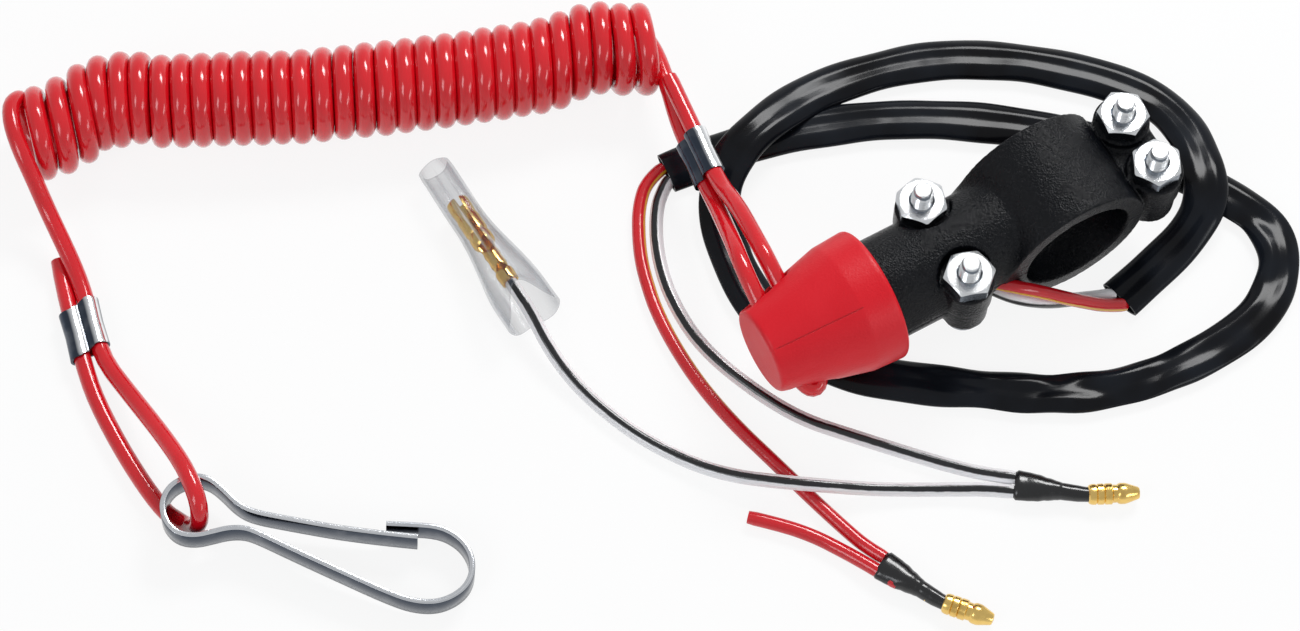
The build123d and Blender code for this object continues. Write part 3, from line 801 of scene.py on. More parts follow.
@dataclass(frozen=True)
class Metal:
    """Bright metal with streaks along a strip, and painted shade on faces turned from a lit direction."""

    name: str
    colour: Colour
    dark: Colour
    roughness: float
    streaks: float = 0.0
    scratch: float = 0.00045
    depth: float = 0.00002
    # The lit direction, and the painted shade colour that faces turned away from it are blended towards
    lit_direction: Place | None = None
    painted_shade_colour: Colour = (0.05, 0.062, 0.085)
    edges: tuple[float, float] = (0.55, 0.9)
    patch: float = 0.0035
    streaks_round: float = 26.0
    streaks_along: float = 24.0

    def material(self) -> bpy.types.Material:
        """Makes the material.

        Returns:
            The material.
        """
        paint = Paint.material(self.name)
        broad = paint.cloud(self.patch, 3.0)
        fine = paint.cloud(self.scratch, 3.0)
        mask = broad.step(0.45, 0.75) * 0.5
        if self.streaks:
            lines = paint.cloud(1.0, 4.0, paint.stretched(self.streaks_round, self.streaks_along))
            mask = (mask * 0.4 + lines.step(0.4, 0.62) * self.streaks).clipped()
        colour = paint.blend(mask, self.colour, self.dark)
        # Painted shade and painted reflection: faces turned away from the lit direction get a darker colour
        if self.lit_direction is not None:
            facing = paint.node("ShaderNodeTexCoord", output="Normal")
            pair = {0: facing, 1: Vector(self.lit_direction).normalized()}
            shine = paint.node("ShaderNodeVectorMath", {"operation": "DOT_PRODUCT"}, pair, "Value")
            painted_shade_share = (1 - shine.step(*self.edges)) * (0.85 + broad * 0.3)
            colour = paint.blend(painted_shade_share.clipped(), colour, self.painted_shade_colour)
        return paint.surface({
            "Base Color": colour,
            "Metallic": 1.0,
            "Roughness": (self.roughness + (fine - 0.5) * 0.18 + mask * 0.08).clipped(),
            "Normal": paint.relief(fine, self.depth),
        })


@dataclass(frozen=True)
class ClearVinyl:
    """Thin clear vinyl with painted highlight streaks along it."""

    name: str = "clear_vinyl"
    colour: Colour = (0.08, 0.11, 0.16)
    # The colour of the painted highlight streaks, and how much more opaque they are
    highlight_colour: Colour = (0.86, 0.89, 0.93)
    thin: float = 0.10
    rim_share: float = 0.7
    highlight_share: float = 0.26
    patch: float = 0.004
    streaks_round: float = 16.0
    streaks_along: float = 30.0
    depth: float = 0.0004

    def material(self) -> bpy.types.Material:
        """Makes the material.

        Returns:
            The material.
        """
        paint = Paint.material(self.name)
        lines = paint.cloud(1.0, 3.0, paint.stretched(self.streaks_round, self.streaks_along))
        # Painted highlight: pale, more opaque streaks along the tube stand in for reflected light
        streaks = lines.step(0.56, 0.70)
        rim = paint.node("ShaderNodeLayerWeight", {}, {"Blend": 0.30}, "Facing")
        return paint.surface({
            "Base Color": paint.blend(streaks, self.colour, self.highlight_colour),
            "Roughness": (0.12 + streaks * 0.2).clipped(),
            "Alpha": (self.thin + rim ** 1.5 * self.rim_share + streaks * self.highlight_share).clipped(),
            "Coat Weight": 1.0,
            "Coat Roughness": 0.04,
            "Normal": paint.relief(paint.cloud(self.patch, 2.0), self.depth),
        })


class Finishes:
    """All the finishes of the part, made once each."""

    def __init__(self) -> None:
        """Makes every material."""
        self.housing = Moulding(
            "housing_plastic", (0.002, 0.0023, 0.0032), (0.005, 0.006, 0.009), 0.28, 0.00030, 0.00026,
            gloss=0.17,
        ).material()
        self.cap = Moulding(
            "cap_plastic", (0.70, 0.005, 0.015), (0.76, 0.012, 0.024), 0.40, 0.00030, 0.00006, gloss=0.35,
            seam_turn=63.0,
        ).material()
        self.inner = Moulding(
            "inner_plastic", (0.05, 0.05, 0.055), (0.09, 0.09, 0.1), 0.5, 0.0005, 0.00004
        ).material()
        self.lanyard = Jacket(
            "lanyard_jacket", (0.77, 0.007, 0.016), (0.63, 0.003, 0.010), coat=0.4
        ).material()
        self.red_wire = Jacket(
            "red_wire", (0.72, 0.008, 0.018), (0.56, 0.005, 0.012), 0.2, 0.3,
            tracer=(0.80, 0.42, 0.03), tracer_share=0.07,
        ).material()
        self.white_wire = Jacket(
            "white_wire", (0.96, 0.96, 0.97), (0.88, 0.88, 0.91), 0.22, 0.3,
            tracer=(0.006, 0.006, 0.008), tracer_share=0.16,
        ).material()
        self.boot = Jacket(
            "boot_rubber", (0.005, 0.005, 0.006), (0.010, 0.010, 0.011), 0.22, 0.2
        ).material()
        self.sleeve = SleeveVinyl().material()
        # The zinc, the strip and the ferrule carry painted shade on faces turned away from their lit
        # direction
        self.zinc = Metal(
            "zinc_plate", (0.90, 0.91, 0.92), (0.62, 0.65, 0.69), 0.22,
            lit_direction=(0.0, 0.0, 1.0), painted_shade_colour=(0.22, 0.25, 0.29), edges=(0.2, 0.9),
        ).material()
        self.strip = Metal(
            "plated_strip", (0.90, 0.91, 0.93), (0.45, 0.48, 0.54), 0.16, 0.5, lit_direction=(0.0, 0.0, 1.0)
        ).material()
        self.ferrule = Metal(
            "ferrule_metal", (0.92, 0.93, 0.94), (0.60, 0.61, 0.64), 0.13, 0.2,
            lit_direction=(0.55, 0.25, 0.80), edges=(0.66, 0.84),
        ).material()
        self.brass = Metal(
            "bright_brass", (0.90, 0.62, 0.20), (0.52, 0.28, 0.05), 0.2, scratch=0.0006, depth=0.00003
        ).material()
        self.spring = Metal("spring_steel", (0.62, 0.62, 0.63), (0.4, 0.4, 0.41), 0.3).material()
        self.clear = ClearVinyl().material()


def dress(
    piece: bpy.types.Object,
    finish: bpy.types.Material,
    body: str,
    nodes: Sequence[str] = (),
) -> bpy.types.Object:
    """Gives a piece its finish and its body, and hides what it stands for.

    Args:
        piece: The new piece.
        finish: Its material.
        body: The body that it rides on.
        nodes: The solids that it stands for.

    Returns:
        The piece.
    """
    piece.data.materials.clear()
    piece.data.materials.append(finish)
    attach(piece, body)
    if nodes:
        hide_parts(*nodes)
    LOG.info("made %s, %d faces", piece.name, len(piece.data.polygons))
    return piece


@dataclass
class Studio:
    """The camera, the floor and the lamps."""

    place: Place = (-0.2174, -0.2354, 0.6234)
    yaw: float = -29.10
    pitch: float = 65.19
    view_angle: float = 20.0
    middle: Place = (-0.06, 0.02, -0.01)
    floor_reach: float = 4.0
    floor_drop: float = 0.00005
    floor_white: float = 0.88
    sky_light: float = 0.42
    sky_seen: float = 0.55
    sky_low: float = 0.2
    lamps: tuple[tuple[str, Place, float, tuple[float, float], float, Colour], ...] = (
        ("key", (0.58, 0.42, 0.78), 0.8, (0.30, 0.22), 3.6, (1.0, 1.0, 1.0)),
        ("side", (-0.75, -0.15, 0.65), 0.9, (0.25, 0.40), 1.3, (0.93, 0.96, 1.0)),
        ("front", (0.35, -0.85, 0.45), 0.9, (0.45, 0.16), 1.0, (0.96, 0.98, 1.0)),
    )

    def camera(self) -> None:
        """Makes the camera at the photograph's place and angle."""
        yaw, pitch = math.radians(self.yaw), math.radians(self.pitch)
        back = Vector((math.sin(yaw) * math.cos(pitch), -math.cos(yaw) * math.cos(pitch), math.sin(pitch)))
        right = Vector((math.cos(yaw), math.sin(yaw), 0.0))
        upward = back.cross(right)
        data = bpy.data.cameras.new("camera")
        data.angle = math.radians(self.view_angle)
        data.clip_start = 0.01
        made = bpy.data.objects.new("camera", data)
        bpy.context.scene.collection.objects.link(made)
        turned_to = Matrix((right, upward, back)).transposed().to_4x4()
        made.matrix_world = Matrix.Translation(self.place) @ turned_to
        bpy.context.scene.camera = made

    def floor(self) -> None:
        """Makes the pale floor, which shows white and keeps a soft shadow."""
        skin = Skin("floor")
        level, reach = FLOOR_Z - self.floor_drop, self.floor_reach
        corners = ((-reach, -reach), (reach, -reach), (reach, reach), (-reach, reach))
        skin.mesh.faces.new(skin.ring([Vector((x, y, level)) for x, y in corners]))
        made = skin.piece()
        paint = Paint.material("floor")
        look = {"Base Color": (0.93, 0.935, 0.94), "Roughness": 0.9}
        cloth = paint.node("ShaderNodeBsdfPrincipled", {}, look)
        glow = paint.node("ShaderNodeEmission", {}, {"Color": (1.0, 1.0, 1.0), "Strength": 1.0})
        share = self._seen(paint) * self.floor_white
        mixed = paint.node("ShaderNodeMixShader", {}, {0: share, 1: cloth, 2: glow})
        paint.node("ShaderNodeOutputMaterial", {}, {"Surface": mixed})
        made.data.materials.append(paint.holder)

    def _seen(self, paint: Paint) -> Shade:
        """1 for rays from the camera, off a gloss or through something clear.

        Args:
            paint: The material or world.

        Returns:
            The mask.
        """
        camera = paint.node("ShaderNodeLightPath", output="Is Camera Ray")
        outputs = camera.socket.node.outputs
        gloss = Shade(paint, outputs["Is Glossy Ray"])
        through = Shade(paint, outputs["Is Transmission Ray"])
        return camera.most(gloss).most(through)

    def world(self) -> None:
        """Makes the pale surroundings."""
        made = bpy.data.worlds.new("surroundings")
        bpy.context.scene.world = made
        paint = Paint(made)
        seen = self._seen(paint)
        toward = paint.node("ShaderNodeTexCoord", output="Generated")
        height = paint.node("ShaderNodeSeparateXYZ", {}, {0: toward}, 2)
        low = 1 - height.step(0.05, 0.5)
        camera = paint.node("ShaderNodeLightPath", output="Is Camera Ray")
        strength = self.sky_light * (1 - seen) + seen * (self.sky_seen + self.sky_low * low)
        shown = camera + (1 - camera) * strength
        glow = paint.node("ShaderNodeBackground", {}, {"Color": (0.97, 0.985, 1.0), "Strength": shown})
        paint.node("ShaderNodeOutputWorld", {}, {"Surface": glow})

    def lamp(
        self,
        name: str,
        toward: Place,
        distance: float,
        size: tuple[float, float],
        power: float,
        colour: Colour,
    ) -> None:
        """Makes one soft lamp that points at the part.

        Args:
            name: Its name.
            toward: The direction from the part to the lamp.
            distance: How far away it is.
            size: Its width and height.
            power: Its power in watts.
            colour: Its colour.
        """
        data = bpy.data.lights.new(name, "AREA")
        data.shape = "RECTANGLE"
        data.size, data.size_y = size
        data.energy = power
        data.color = colour
        made = bpy.data.objects.new(name, data)
        bpy.context.scene.collection.objects.link(made)
        direction = Vector(toward).normalized()
        made.location = Vector(self.middle) + direction * distance
        made.rotation_mode = "QUATERNION"
        made.rotation_quaternion = direction.to_track_quat("Z", "Y")

    def build(self) -> None:
        """Makes the floor, the surroundings and the lamps."""
        self.floor()
        self.world()
        for lamp in self.lamps:
            self.lamp(*lamp)
        bpy.context.scene.view_settings.view_transform = "Standard"


@dataclass
class Cords:
    """What all the round cords and wires share."""

    finishes: Finishes
    width: float
    sides: int = 16
    end_round: float = 0.00025

    def make(
        self,
        name: str,
        line: Line,
        finish: bpy.types.Material,
        slot: str,
        body: str,
        nodes: Sequence[str],
        tracer: Callable[[float], float] = lambda station: 90.0,
        growth: Callable[[float], float] = lambda station: 0.0,
    ) -> bpy.types.Object:
        """Makes one round cord along a line.

        Args:
            name: The name of the piece.
            line: Its centre line.
            finish: Its material.
            slot: Not used.
            body: The body that it rides on.
            nodes: The solids that it stands for.
            tracer: Where the tracer is round the wire, in degrees, at a station.
            growth: How much wider the cord is at a station.

        Returns:
            The piece.
        """

        def section(station: float, turn: float) -> tuple[float, float]:
            """A round section with slightly rounded ends.

            Args:
                station: Distance along the cord.
                turn: The share of a turn round it.

            Returns:
                The point's place across and up.
            """
            near_end = min(station, line.length - station)
            held = min(max(near_end / self.end_round, 0.0), 1.0)
            size = (self.width + growth(station) - self.end_round * (1 - held)) / 2
            angle = math.tau * turn - math.pi + math.radians(tracer(station))
            return size * math.cos(angle), size * math.sin(angle)

        skin = Skin(name)
        sweep(skin, line, section, self.sides)
        return dress(skin.piece(), finish, body, nodes)


@dataclass
class Lanyard(Cords):
    """The red lanyard: a long cord from cap to hook with its coil, and a short loop in the cap."""

    width: float = 0.0034
    pressed: float = 0.0006
    press_out: float = 0.004
    press_in: float = 0.008
    coil_width: float = 0.0187
    level: float = -0.0084
    turns: float = 31.04
    first_angle: float = 10.0
    first_number: float = 0.47
    unevenness: tuple[tuple[float, float, float], ...] = ((0.006, 2.1, 0.0), (0.004, 0.9, 1.0))
    turn_points: int = 16
    centres: Route = (
        (0.0, -0.1631, 0.1118), (1.0, -0.1602, 0.1111), (2.0, -0.1559, 0.1104), (3.0, -0.1511, 0.1107),
        (4.0, -0.1471, 0.1116), (5.0, -0.1433, 0.1102), (6.0, -0.1396, 0.1091), (7.0, -0.1365, 0.1061),
        (8.0, -0.1329, 0.1043), (11.0, -0.1225, 0.0991), (14.0, -0.1123, 0.0938), (18.0, -0.0972, 0.0876),
        (22.0, -0.0827, 0.0820), (26.0, -0.0686, 0.0771), (27.0, -0.0648, 0.0763), (28.0, -0.0605, 0.0761),
        (29.0, -0.0564, 0.0753), (30.0, -0.0530, 0.0729), (31.0, -0.0492, 0.0707), (31.6, -0.0474, 0.0701),
    )
    headings: tuple[tuple[float, float], ...] = (
        (0.5, -8.5), (2.0, -9.5), (3.8, -13.5), (5.0, -19.8), (29.0, -19.8), (31.0, -14.5),
    )

    def helix(self) -> list[tuple[float, ...]]:
        """The coil's points, from the hook's end to the cap's end.

        Returns:
            The control points of the turns.
        """
        step = math.tau / self.turn_points
        cord = self.width + self.pressed
        reach = (self.coil_width - cord) / 2 / (0.75 + 0.25 * math.cos(step))
        count = round(self.turns * self.turn_points)
        points = []
        for index in range(count + 1):
            turn = self.turns * index / count
            x, y = between(self.centres, turn + self.first_number)
            heading = math.radians(along_table(self.headings, turn + self.first_number))
            far = Vector((-math.sin(heading), math.cos(heading), 0.0))
            angle = math.radians(self.first_angle) - turn * math.tau
            uneven = sum(part * (1 + math.sin(rate * turn + start)) for part, rate, start in self.unevenness)
            size = reach * (1 - uneven)
            spot = Vector((x, y, self.level)) + far * size * math.cos(angle) + UP * size * math.sin(angle)
            points.append(tuple(spot))
        return points

    def build(self, hook: bpy.types.Object, ferrules: Sequence[bpy.types.Object]) -> None:
        """Makes both pieces of cord.

        Args:
            hook: The snap hook on it. Not used.
            ferrules: The cap's ferrule and the hook's ferrule. Not used.
        """
        helix = self.helix()
        lead = reversed(LANYARD_CAP_LEAD[1:])
        route = [*lead, *reversed(helix), *LANYARD_HOOK_LEAD, *LANYARD_HOOK_TAIL[1:]]
        line = Line.smooth(route, 3, Steering.CARRIED)
        low, high = line.nearest(helix[-1]), line.nearest(helix[0])

        def growth(station: float) -> float:
            """How much wider the cord is pressed where its turns touch.

            Args:
                station: Distance along the cord.

            Returns:
                The extra width.
            """
            started = ramp(station, low - self.press_out, low + self.press_in)
            ended = ramp(station, high - self.press_in, high + self.press_out)
            return self.pressed * started * (1 - ended)

        finish, slot = self.finishes.lanyard, "lanyard_plastic"
        nodes = ("lanyard_coil", "lanyard_cap_lead", "lanyard_hook_lead", "lanyard_hook_tail")
        long_cord = self.make("lanyard_cord", line, finish, slot, "tether", nodes, growth=growth)
        line = Line.smooth(LANYARD_CAP_TAIL, 8, Steering.CARRIED)
        loop = self.make("lanyard_loop", line, finish, slot, "tether", ("lanyard_cap_tail",))


@dataclass
class Ferrule:
    """A thin metal sleeve pressed round two strands of the lanyard."""

    name: str
    first: Place
    second: Place
    axis: Place
    length: float
    barrel: float = 0.0023
    waist: float = 0.0014
    wall: float = 0.00045
    sides: int = 64
    dent: float = 0.00010
    dent_length: float = 0.0022

    def _reach(self, angle: float, spacing: float) -> float:
        """The distance from the middle to the pressed outline.

        Args:
            angle: The direction round the section.
            spacing: Half the distance between the two strands.

        Returns:
            The distance.
        """
        rise, breadth = abs(math.sin(angle)), abs(math.cos(angle))
        round_part = spacing * breadth + math.sqrt(max(self.barrel**2 - (spacing * rise) ** 2, 0.0))
        if breadth > 0.55:
            return round_part
        pressed = min(self.waist / max(rise, 1e-3), round_part * 1.6)
        return (round_part**10 + pressed**10) ** 0.1

    def build(self, finish: bpy.types.Material) -> bpy.types.Object:
        """Makes the ferrule.

        Args:
            finish: Its material.

        Returns:
            The piece.
        """
        middle = (Vector(self.first) + Vector(self.second)) / 2
        along = Vector(self.axis).normalized()
        across = Vector(self.second) - Vector(self.first)
        skew = across.dot(along) / 2
        across -= along * across.dot(along)
        spacing = across.length / 2
        across.normalize()
        lift = along.cross(across)
        half = self.length / 2
        levels = (
            (-half, 0.0), (-half + 0.0002, 0.00003), (-half + 0.0008, 0.0), (0.0, -0.00005),
            (half - 0.0008, 0.0), (half - 0.0002, 0.00003), (half, 0.0),
        )
        outer, inner = [], []
        for station, flare in levels:
            dent = self.dent * math.exp(-((station / self.dent_length) ** 2))
            for rings, shrink in ((outer, dent), (inner, self.wall)):
                points = []
                for side in range(self.sides):
                    angle = math.tau * side / self.sides
                    reach = self._reach(angle, spacing) + flare - shrink
                    shift = skew * min(max(reach * math.cos(angle) / spacing, -1.0), 1.0)
                    outward = across * math.cos(angle) + lift * math.sin(angle)
                    points.append(middle + along * (station + shift) + outward * reach)
                rings.append(points)
        rings = [*outer, *reversed(inner), outer[0]]
        skin = Skin(self.name + "_pressed")
        skin.tube(rings, [index * MILLIMETRE for index in range(len(rings))], capped=False)
        bmesh.ops.remove_doubles(skin.mesh, verts=skin.mesh.verts, dist=SAME_POINT)
        return dress(skin.piece(30.0), finish, "tether", (self.name,))


@dataclass
class SnapHook:
    """The flat strip, bent on edge into an eye, a back and a latch."""

    eye: Place = (-0.16857, 0.02789, -0.00865)
    heading: float = -38.2
    pitch: float = 3.5
    thickness: float = 0.0011
    height: float = 0.0058
    edge: float = 0.00028

    def build(self, finish: bpy.types.Material) -> bpy.types.Object:
        """Makes the hook.

        Args:
            finish: Its material.

        Returns:
            The piece.
        """
        place = Matrix.Translation(self.eye) @ Matrix.Rotation(math.radians(self.heading), 4, "Z")
        place = place @ Matrix.Rotation(math.radians(self.pitch), 4, "Y")
        flat = Line.smooth([(u, v, 0.0) for u, v in HOOK_STRIP], 8)
        half, edge = self.thickness / 2, self.edge
        outline = [
            (half, -edge), (half - 0.3 * edge, -0.3 * edge), (half - edge, 0.0),
            (edge - half, 0.0), (0.3 * edge - half, -0.3 * edge), (-half, -edge),
            (-half, edge - self.height), (0.3 * edge - half, 0.3 * edge - self.height),
            (edge - half, -self.height), (half - edge, -self.height),
            (half - 0.3 * edge, 0.3 * edge - self.height), (half, edge - self.height),
        ]
        rings = [
            [place @ flat.place(index, across, up) for across, up in outline]
            for index in range(len(flat.points))
        ]
        skin = Skin("snap_hook_strip")
        skin.tube(rings, flat.stations)
        return dress(skin.piece(35.0), finish, "hook", ("snap_hook",))


# How each wire's tracer winds: its angle in degrees at distances along the wire
TRACERS: dict[str, Rows] = {
    "wire_red_switch": ((0.0, 0.0), (0.02, 5.0), (0.05, 10.0)),
    "wire_white_switch": ((0.0, 0.0), (0.05, 10.0)),
    "wire_red_lead": ((0.0, 150.0), (0.05, 145.0), (0.1, 170.0)),
    "wire_white_lead": ((0.0, 70.0), (0.03, 72.0), (0.06, 75.0), (0.11, 80.0)),
    "wire_red_branch": ((0.0, 280.0), (0.2, 320.0)),
    "wire_white_branch": ((0.0, 103.0), (0.03, 100.0), (0.07, 94.0), (0.115, 100.0)),
}


@dataclass
class Harness(Cords):
    """The wires, the sleeve over them, the boots and the terminals."""

    width: float = 0.0027
    sleeve_width: float = 0.0085
    sleeve_height: float = 0.0032
    mouth_wall: float = 0.00045
    mouth_depth: float = 0.006
    sleeve_sides: int = 30
    swells: tuple[tuple[float, float, float], ...] = ((0.05, 210.0, 0.7), (0.035, 430.0, 2.0))
    flatness: float = 0.12
    folds: tuple[tuple[float, float, float, float], ...] = (
        (0.036, 0.004, 0.20, 0.7), (0.150, 0.006, 0.22, -0.6), (0.222, 0.005, 0.30, 1.1),
        (0.236, 0.004, 0.34, -1.2), (0.247, 0.005, 0.40, 1.3), (0.259, 0.004, 0.36, -1.0),
        (0.271, 0.006, 0.24, 0.9), (0.292, 0.004, 0.30, 1.0), (0.305, 0.004, 0.38, -1.1),
        (0.316, 0.005, 0.22, 0.8),
    )
    boot_wide: tuple[tuple[float, float], ...] = (
        (0.0, 0.0029), (0.0006, 0.0030), (0.30, 0.0027), (0.42, 0.00225), (0.56, 0.0018), (0.62, 0.00165),
        (1.0, 0.0014),
    )
    boot_high: tuple[tuple[float, float], ...] = (
        (0.0, 0.00165), (0.12, 0.00175), (0.30, 0.0019), (0.42, 0.0020), (0.56, 0.0018), (0.62, 0.00165),
        (1.0, 0.0014),
    )
    bullet_outline: tuple[tuple[float, float], ...] = (
        (-3.0, 0.95), (0.5, 0.95), (0.55, 1.55), (0.75, 1.8), (1.2, 1.95), (1.9, 1.98), (2.15, 1.78),
        (2.35, 1.98), (3.3, 2.0), (3.55, 1.8), (3.75, 2.0), (4.9, 2.0), (5.15, 1.72), (5.9, 1.68),
        (6.2, 1.9), (6.5, 2.0), (7.4, 2.0), (7.9, 1.86), (8.9, 1.5), (9.8, 1.2), (10.1, 1.0), (10.2, 0.55),
        (9.6, 0.5), (9.55, 0.0),
    )
    squeezed: tuple[float, float] = (0.0006, 0.005)
    boot_places: tuple[tuple[str, Place, Place, Place], ...] = (
        ("white", (-0.0311, -0.0409, -0.0157), (-0.0206, -0.0490, -0.01575), (-0.0102, -0.0543, -0.01575)),
        ("red", (-0.0610, -0.0424, -0.0157), (-0.0551, -0.0541, -0.01575), (-0.0482, -0.0622, -0.01575)),
    )

    def wires(self, boots: dict[str, list[bpy.types.Object]]) -> None:
        """Makes every wire.

        Args:
            boots: The boot and the terminal at the end of each colour, and the clear piece.
        """
        red, white = self.finishes.red_wire, self.finishes.white_wire
        branch = list(reversed(WIRE_RED_BRANCH))
        inside = Vector(branch[0]) + Vector((0.0021, -0.0042, 0.0))
        white_branch = list(reversed(WIRE_WHITE_BRANCH))
        reds, whites = (red, "red_insulation"), (white, "white_insulation")
        jobs = (
            ("wire_red_switch", WIRE_RED_SWITCH, WIRE_RED_SWITCH[4], reds, "object", []),
            ("wire_white_switch", WIRE_WHITE_SWITCH, WIRE_WHITE_SWITCH[5], whites, "object", []),
            ("wire_red_lead", WIRE_RED_LEAD, WIRE_RED_LEAD[0], reds, "connector", boots["red"]),
            ("wire_white_lead", WIRE_WHITE_LEAD, WIRE_WHITE_LEAD[0], whites, "connector", boots["white"]),
            ("wire_red_branch", [tuple(inside), *branch], branch[0], reds, "bare", []),
            ("wire_white_branch", white_branch, white_branch[0], whites, "connector", boots["clear"]),
        )
        for node, route, exit_point, (finish, slot), far_end, pieces in jobs:
            line = Line.smooth(route, 8)
            piece = self.make(node + "_cord", line, finish, slot, "switch", (node,), self._tracer(node))

    def _tracer(self, node: str) -> Callable[[float], float]:
        """How the tracer of one wire winds along it.

        Args:
            node: The wire's name.

        Returns:
            A function of the station.
        """
        return lambda station: along_table(TRACERS[node], station)

    def sleeve(self) -> None:
        """Makes the flattened sleeve, with open mouths and soft folds."""
        line = Line.smooth(SLEEVE_ROUTE, 10)
        whole = line.length

        def section(station: float, turn: float, wall: float) -> tuple[float, float]:
            """A flat tube over two wires, pinched and swollen along its length.

            Args:
                station: Distance along the sleeve.
                turn: The share of a turn round it.
                wall: How far the point lies inside the sleeve's skin.

            Returns:
                The point's place across and up.
            """
            angle = math.tau * turn
            swell = sum(part * math.sin(station * rate + start) for part, rate, start in self.swells)
            wide = self.sleeve_width / 2 * (1 + swell * 0.5)
            across = math.cos(angle)
            lift = math.copysign(abs(math.sin(angle)) ** 0.8, math.sin(angle))
            lift *= 1 - self.flatness * math.cos(math.tau * across)
            for middle, spread, depth, slant in self.folds:
                place = (station - middle) / spread
                lift *= 1 - depth * math.exp(-((place - slant * across) ** 2))
                wide *= 1 - 0.25 * depth * math.exp(-((place - 0.6) ** 2))
            high = self.sleeve_height / 2 - wall
            if lift < 0.0:
                return (wide - wall) * across, max(high * lift, -high)
            return (wide - wall) * across, high * lift * (1 - swell * 0.8)

        places = list(enumerate(line.stations))
        wall, depth = self.mouth_wall, self.mouth_depth
        start = [(index, wall, -at) for index, at in places if at <= depth]
        end = [(index, wall, 2 * whole - at) for index, at in places if whole - at <= depth]
        order = [*reversed(start), *((index, 0.0, at) for index, at in places), *reversed(end)]
        sides = self.sleeve_sides
        rings = [
            [line.place(index, *section(line.stations[index], side / sides, wall)) for side in range(sides)]
            for index, wall, _ in order
        ]
        skin = Skin("sleeve_skin")
        skin.tube(rings, [at for _, _, at in order])
        piece = dress(skin.piece(50.0), self.finishes.sleeve, "switch", ("harness_sleeve",))

    def boot(self, colour: str, start: Vector, bend: Vector, nose: Vector) -> bpy.types.Object:
        """Makes one shrunk boot over a pair of wires.

        Args:
            colour: The colour of its wires.
            start: Where the pair goes in.
            bend: Where the boot ends and the terminal starts.
            nose: The tip of the terminal.

        Returns:
            The piece.
        """
        out = (nose - bend).normalized()
        route = [start, start.lerp(bend, 0.35), start.lerp(bend, 0.7), bend, bend + out * 0.0012]
        line = Line.smooth([tuple(point) for point in route], 16)
        whole = line.length

        def section(station: float, turn: float) -> tuple[float, float]:
            """A flat oval over the two wires that narrows to a round neck.

            Args:
                station: Distance along the boot.
                turn: The share of a turn round it.

            Returns:
                The point's place across and up.
            """
            share = station / whole
            angle = math.tau * turn
            folds = 1 + 0.022 * math.sin(2 * angle + share * 7.0) * math.sin(share * 13.0)
            folds += 0.006 * math.sin(share * 40.0)
            lip = 1 - 0.12 * (1 - ramp(share, 0.0, 0.03)) - 0.1 * ramp(share, 0.985, 1.0)
            size_x = along_table(self.boot_wide, share) * folds * lip
            size_y = along_table(self.boot_high, share) * folds * lip
            return size_x * math.cos(angle), size_y * math.sin(angle)

        skin = Skin("boot_" + colour + "_skin")
        sweep(skin, line, section, 28)
        return dress(skin.piece(50.0), self.finishes.boot, "switch", ("boot_" + colour,))

    def bullet(self, colour: str, base: Vector, nose: Vector) -> bpy.types.Object:
        """Makes one male bullet terminal.

        Args:
            colour: The colour of its wires.
            base: Where it comes out of the boot.
            nose: Its tip.

        Returns:
            The piece.
        """
        outline = [(station * MILLIMETRE, radius * MILLIMETRE) for station, radius in self.bullet_outline]
        skin = Skin("bullet_" + colour + "_turned")
        turned(skin, base, nose, outline, 36)
        direction = (nose - base).normalized()
        low, high = self.squeezed
        for vertex in skin.mesh.verts:
            station = (vertex.co - base).dot(direction)
            radial = vertex.co - base - direction * station
            if low < station < high and radial.length > 0.0005:
                flat = abs(radial.normalized().z)
                squeeze = 1 - 0.10 * flat ** 4 * math.sin(math.pi * (station - low) / (high - low))
                vertex.co = base + direction * station + radial * squeeze
        return dress(skin.piece(28.0), self.finishes.brass, "switch", ("bullet_" + colour,))

    def ends(self) -> dict[str, list[bpy.types.Object]]:
        """Makes the boots and the male terminals.

        Returns:
            The pieces at the end of each colour.
        """
        made = {}
        for colour, *places in self.boot_places:
            start, bend, nose = (Vector(place) for place in places)
            made[colour] = [self.boot(colour, start, bend, nose), self.bullet(colour, bend, nose)]
        return made


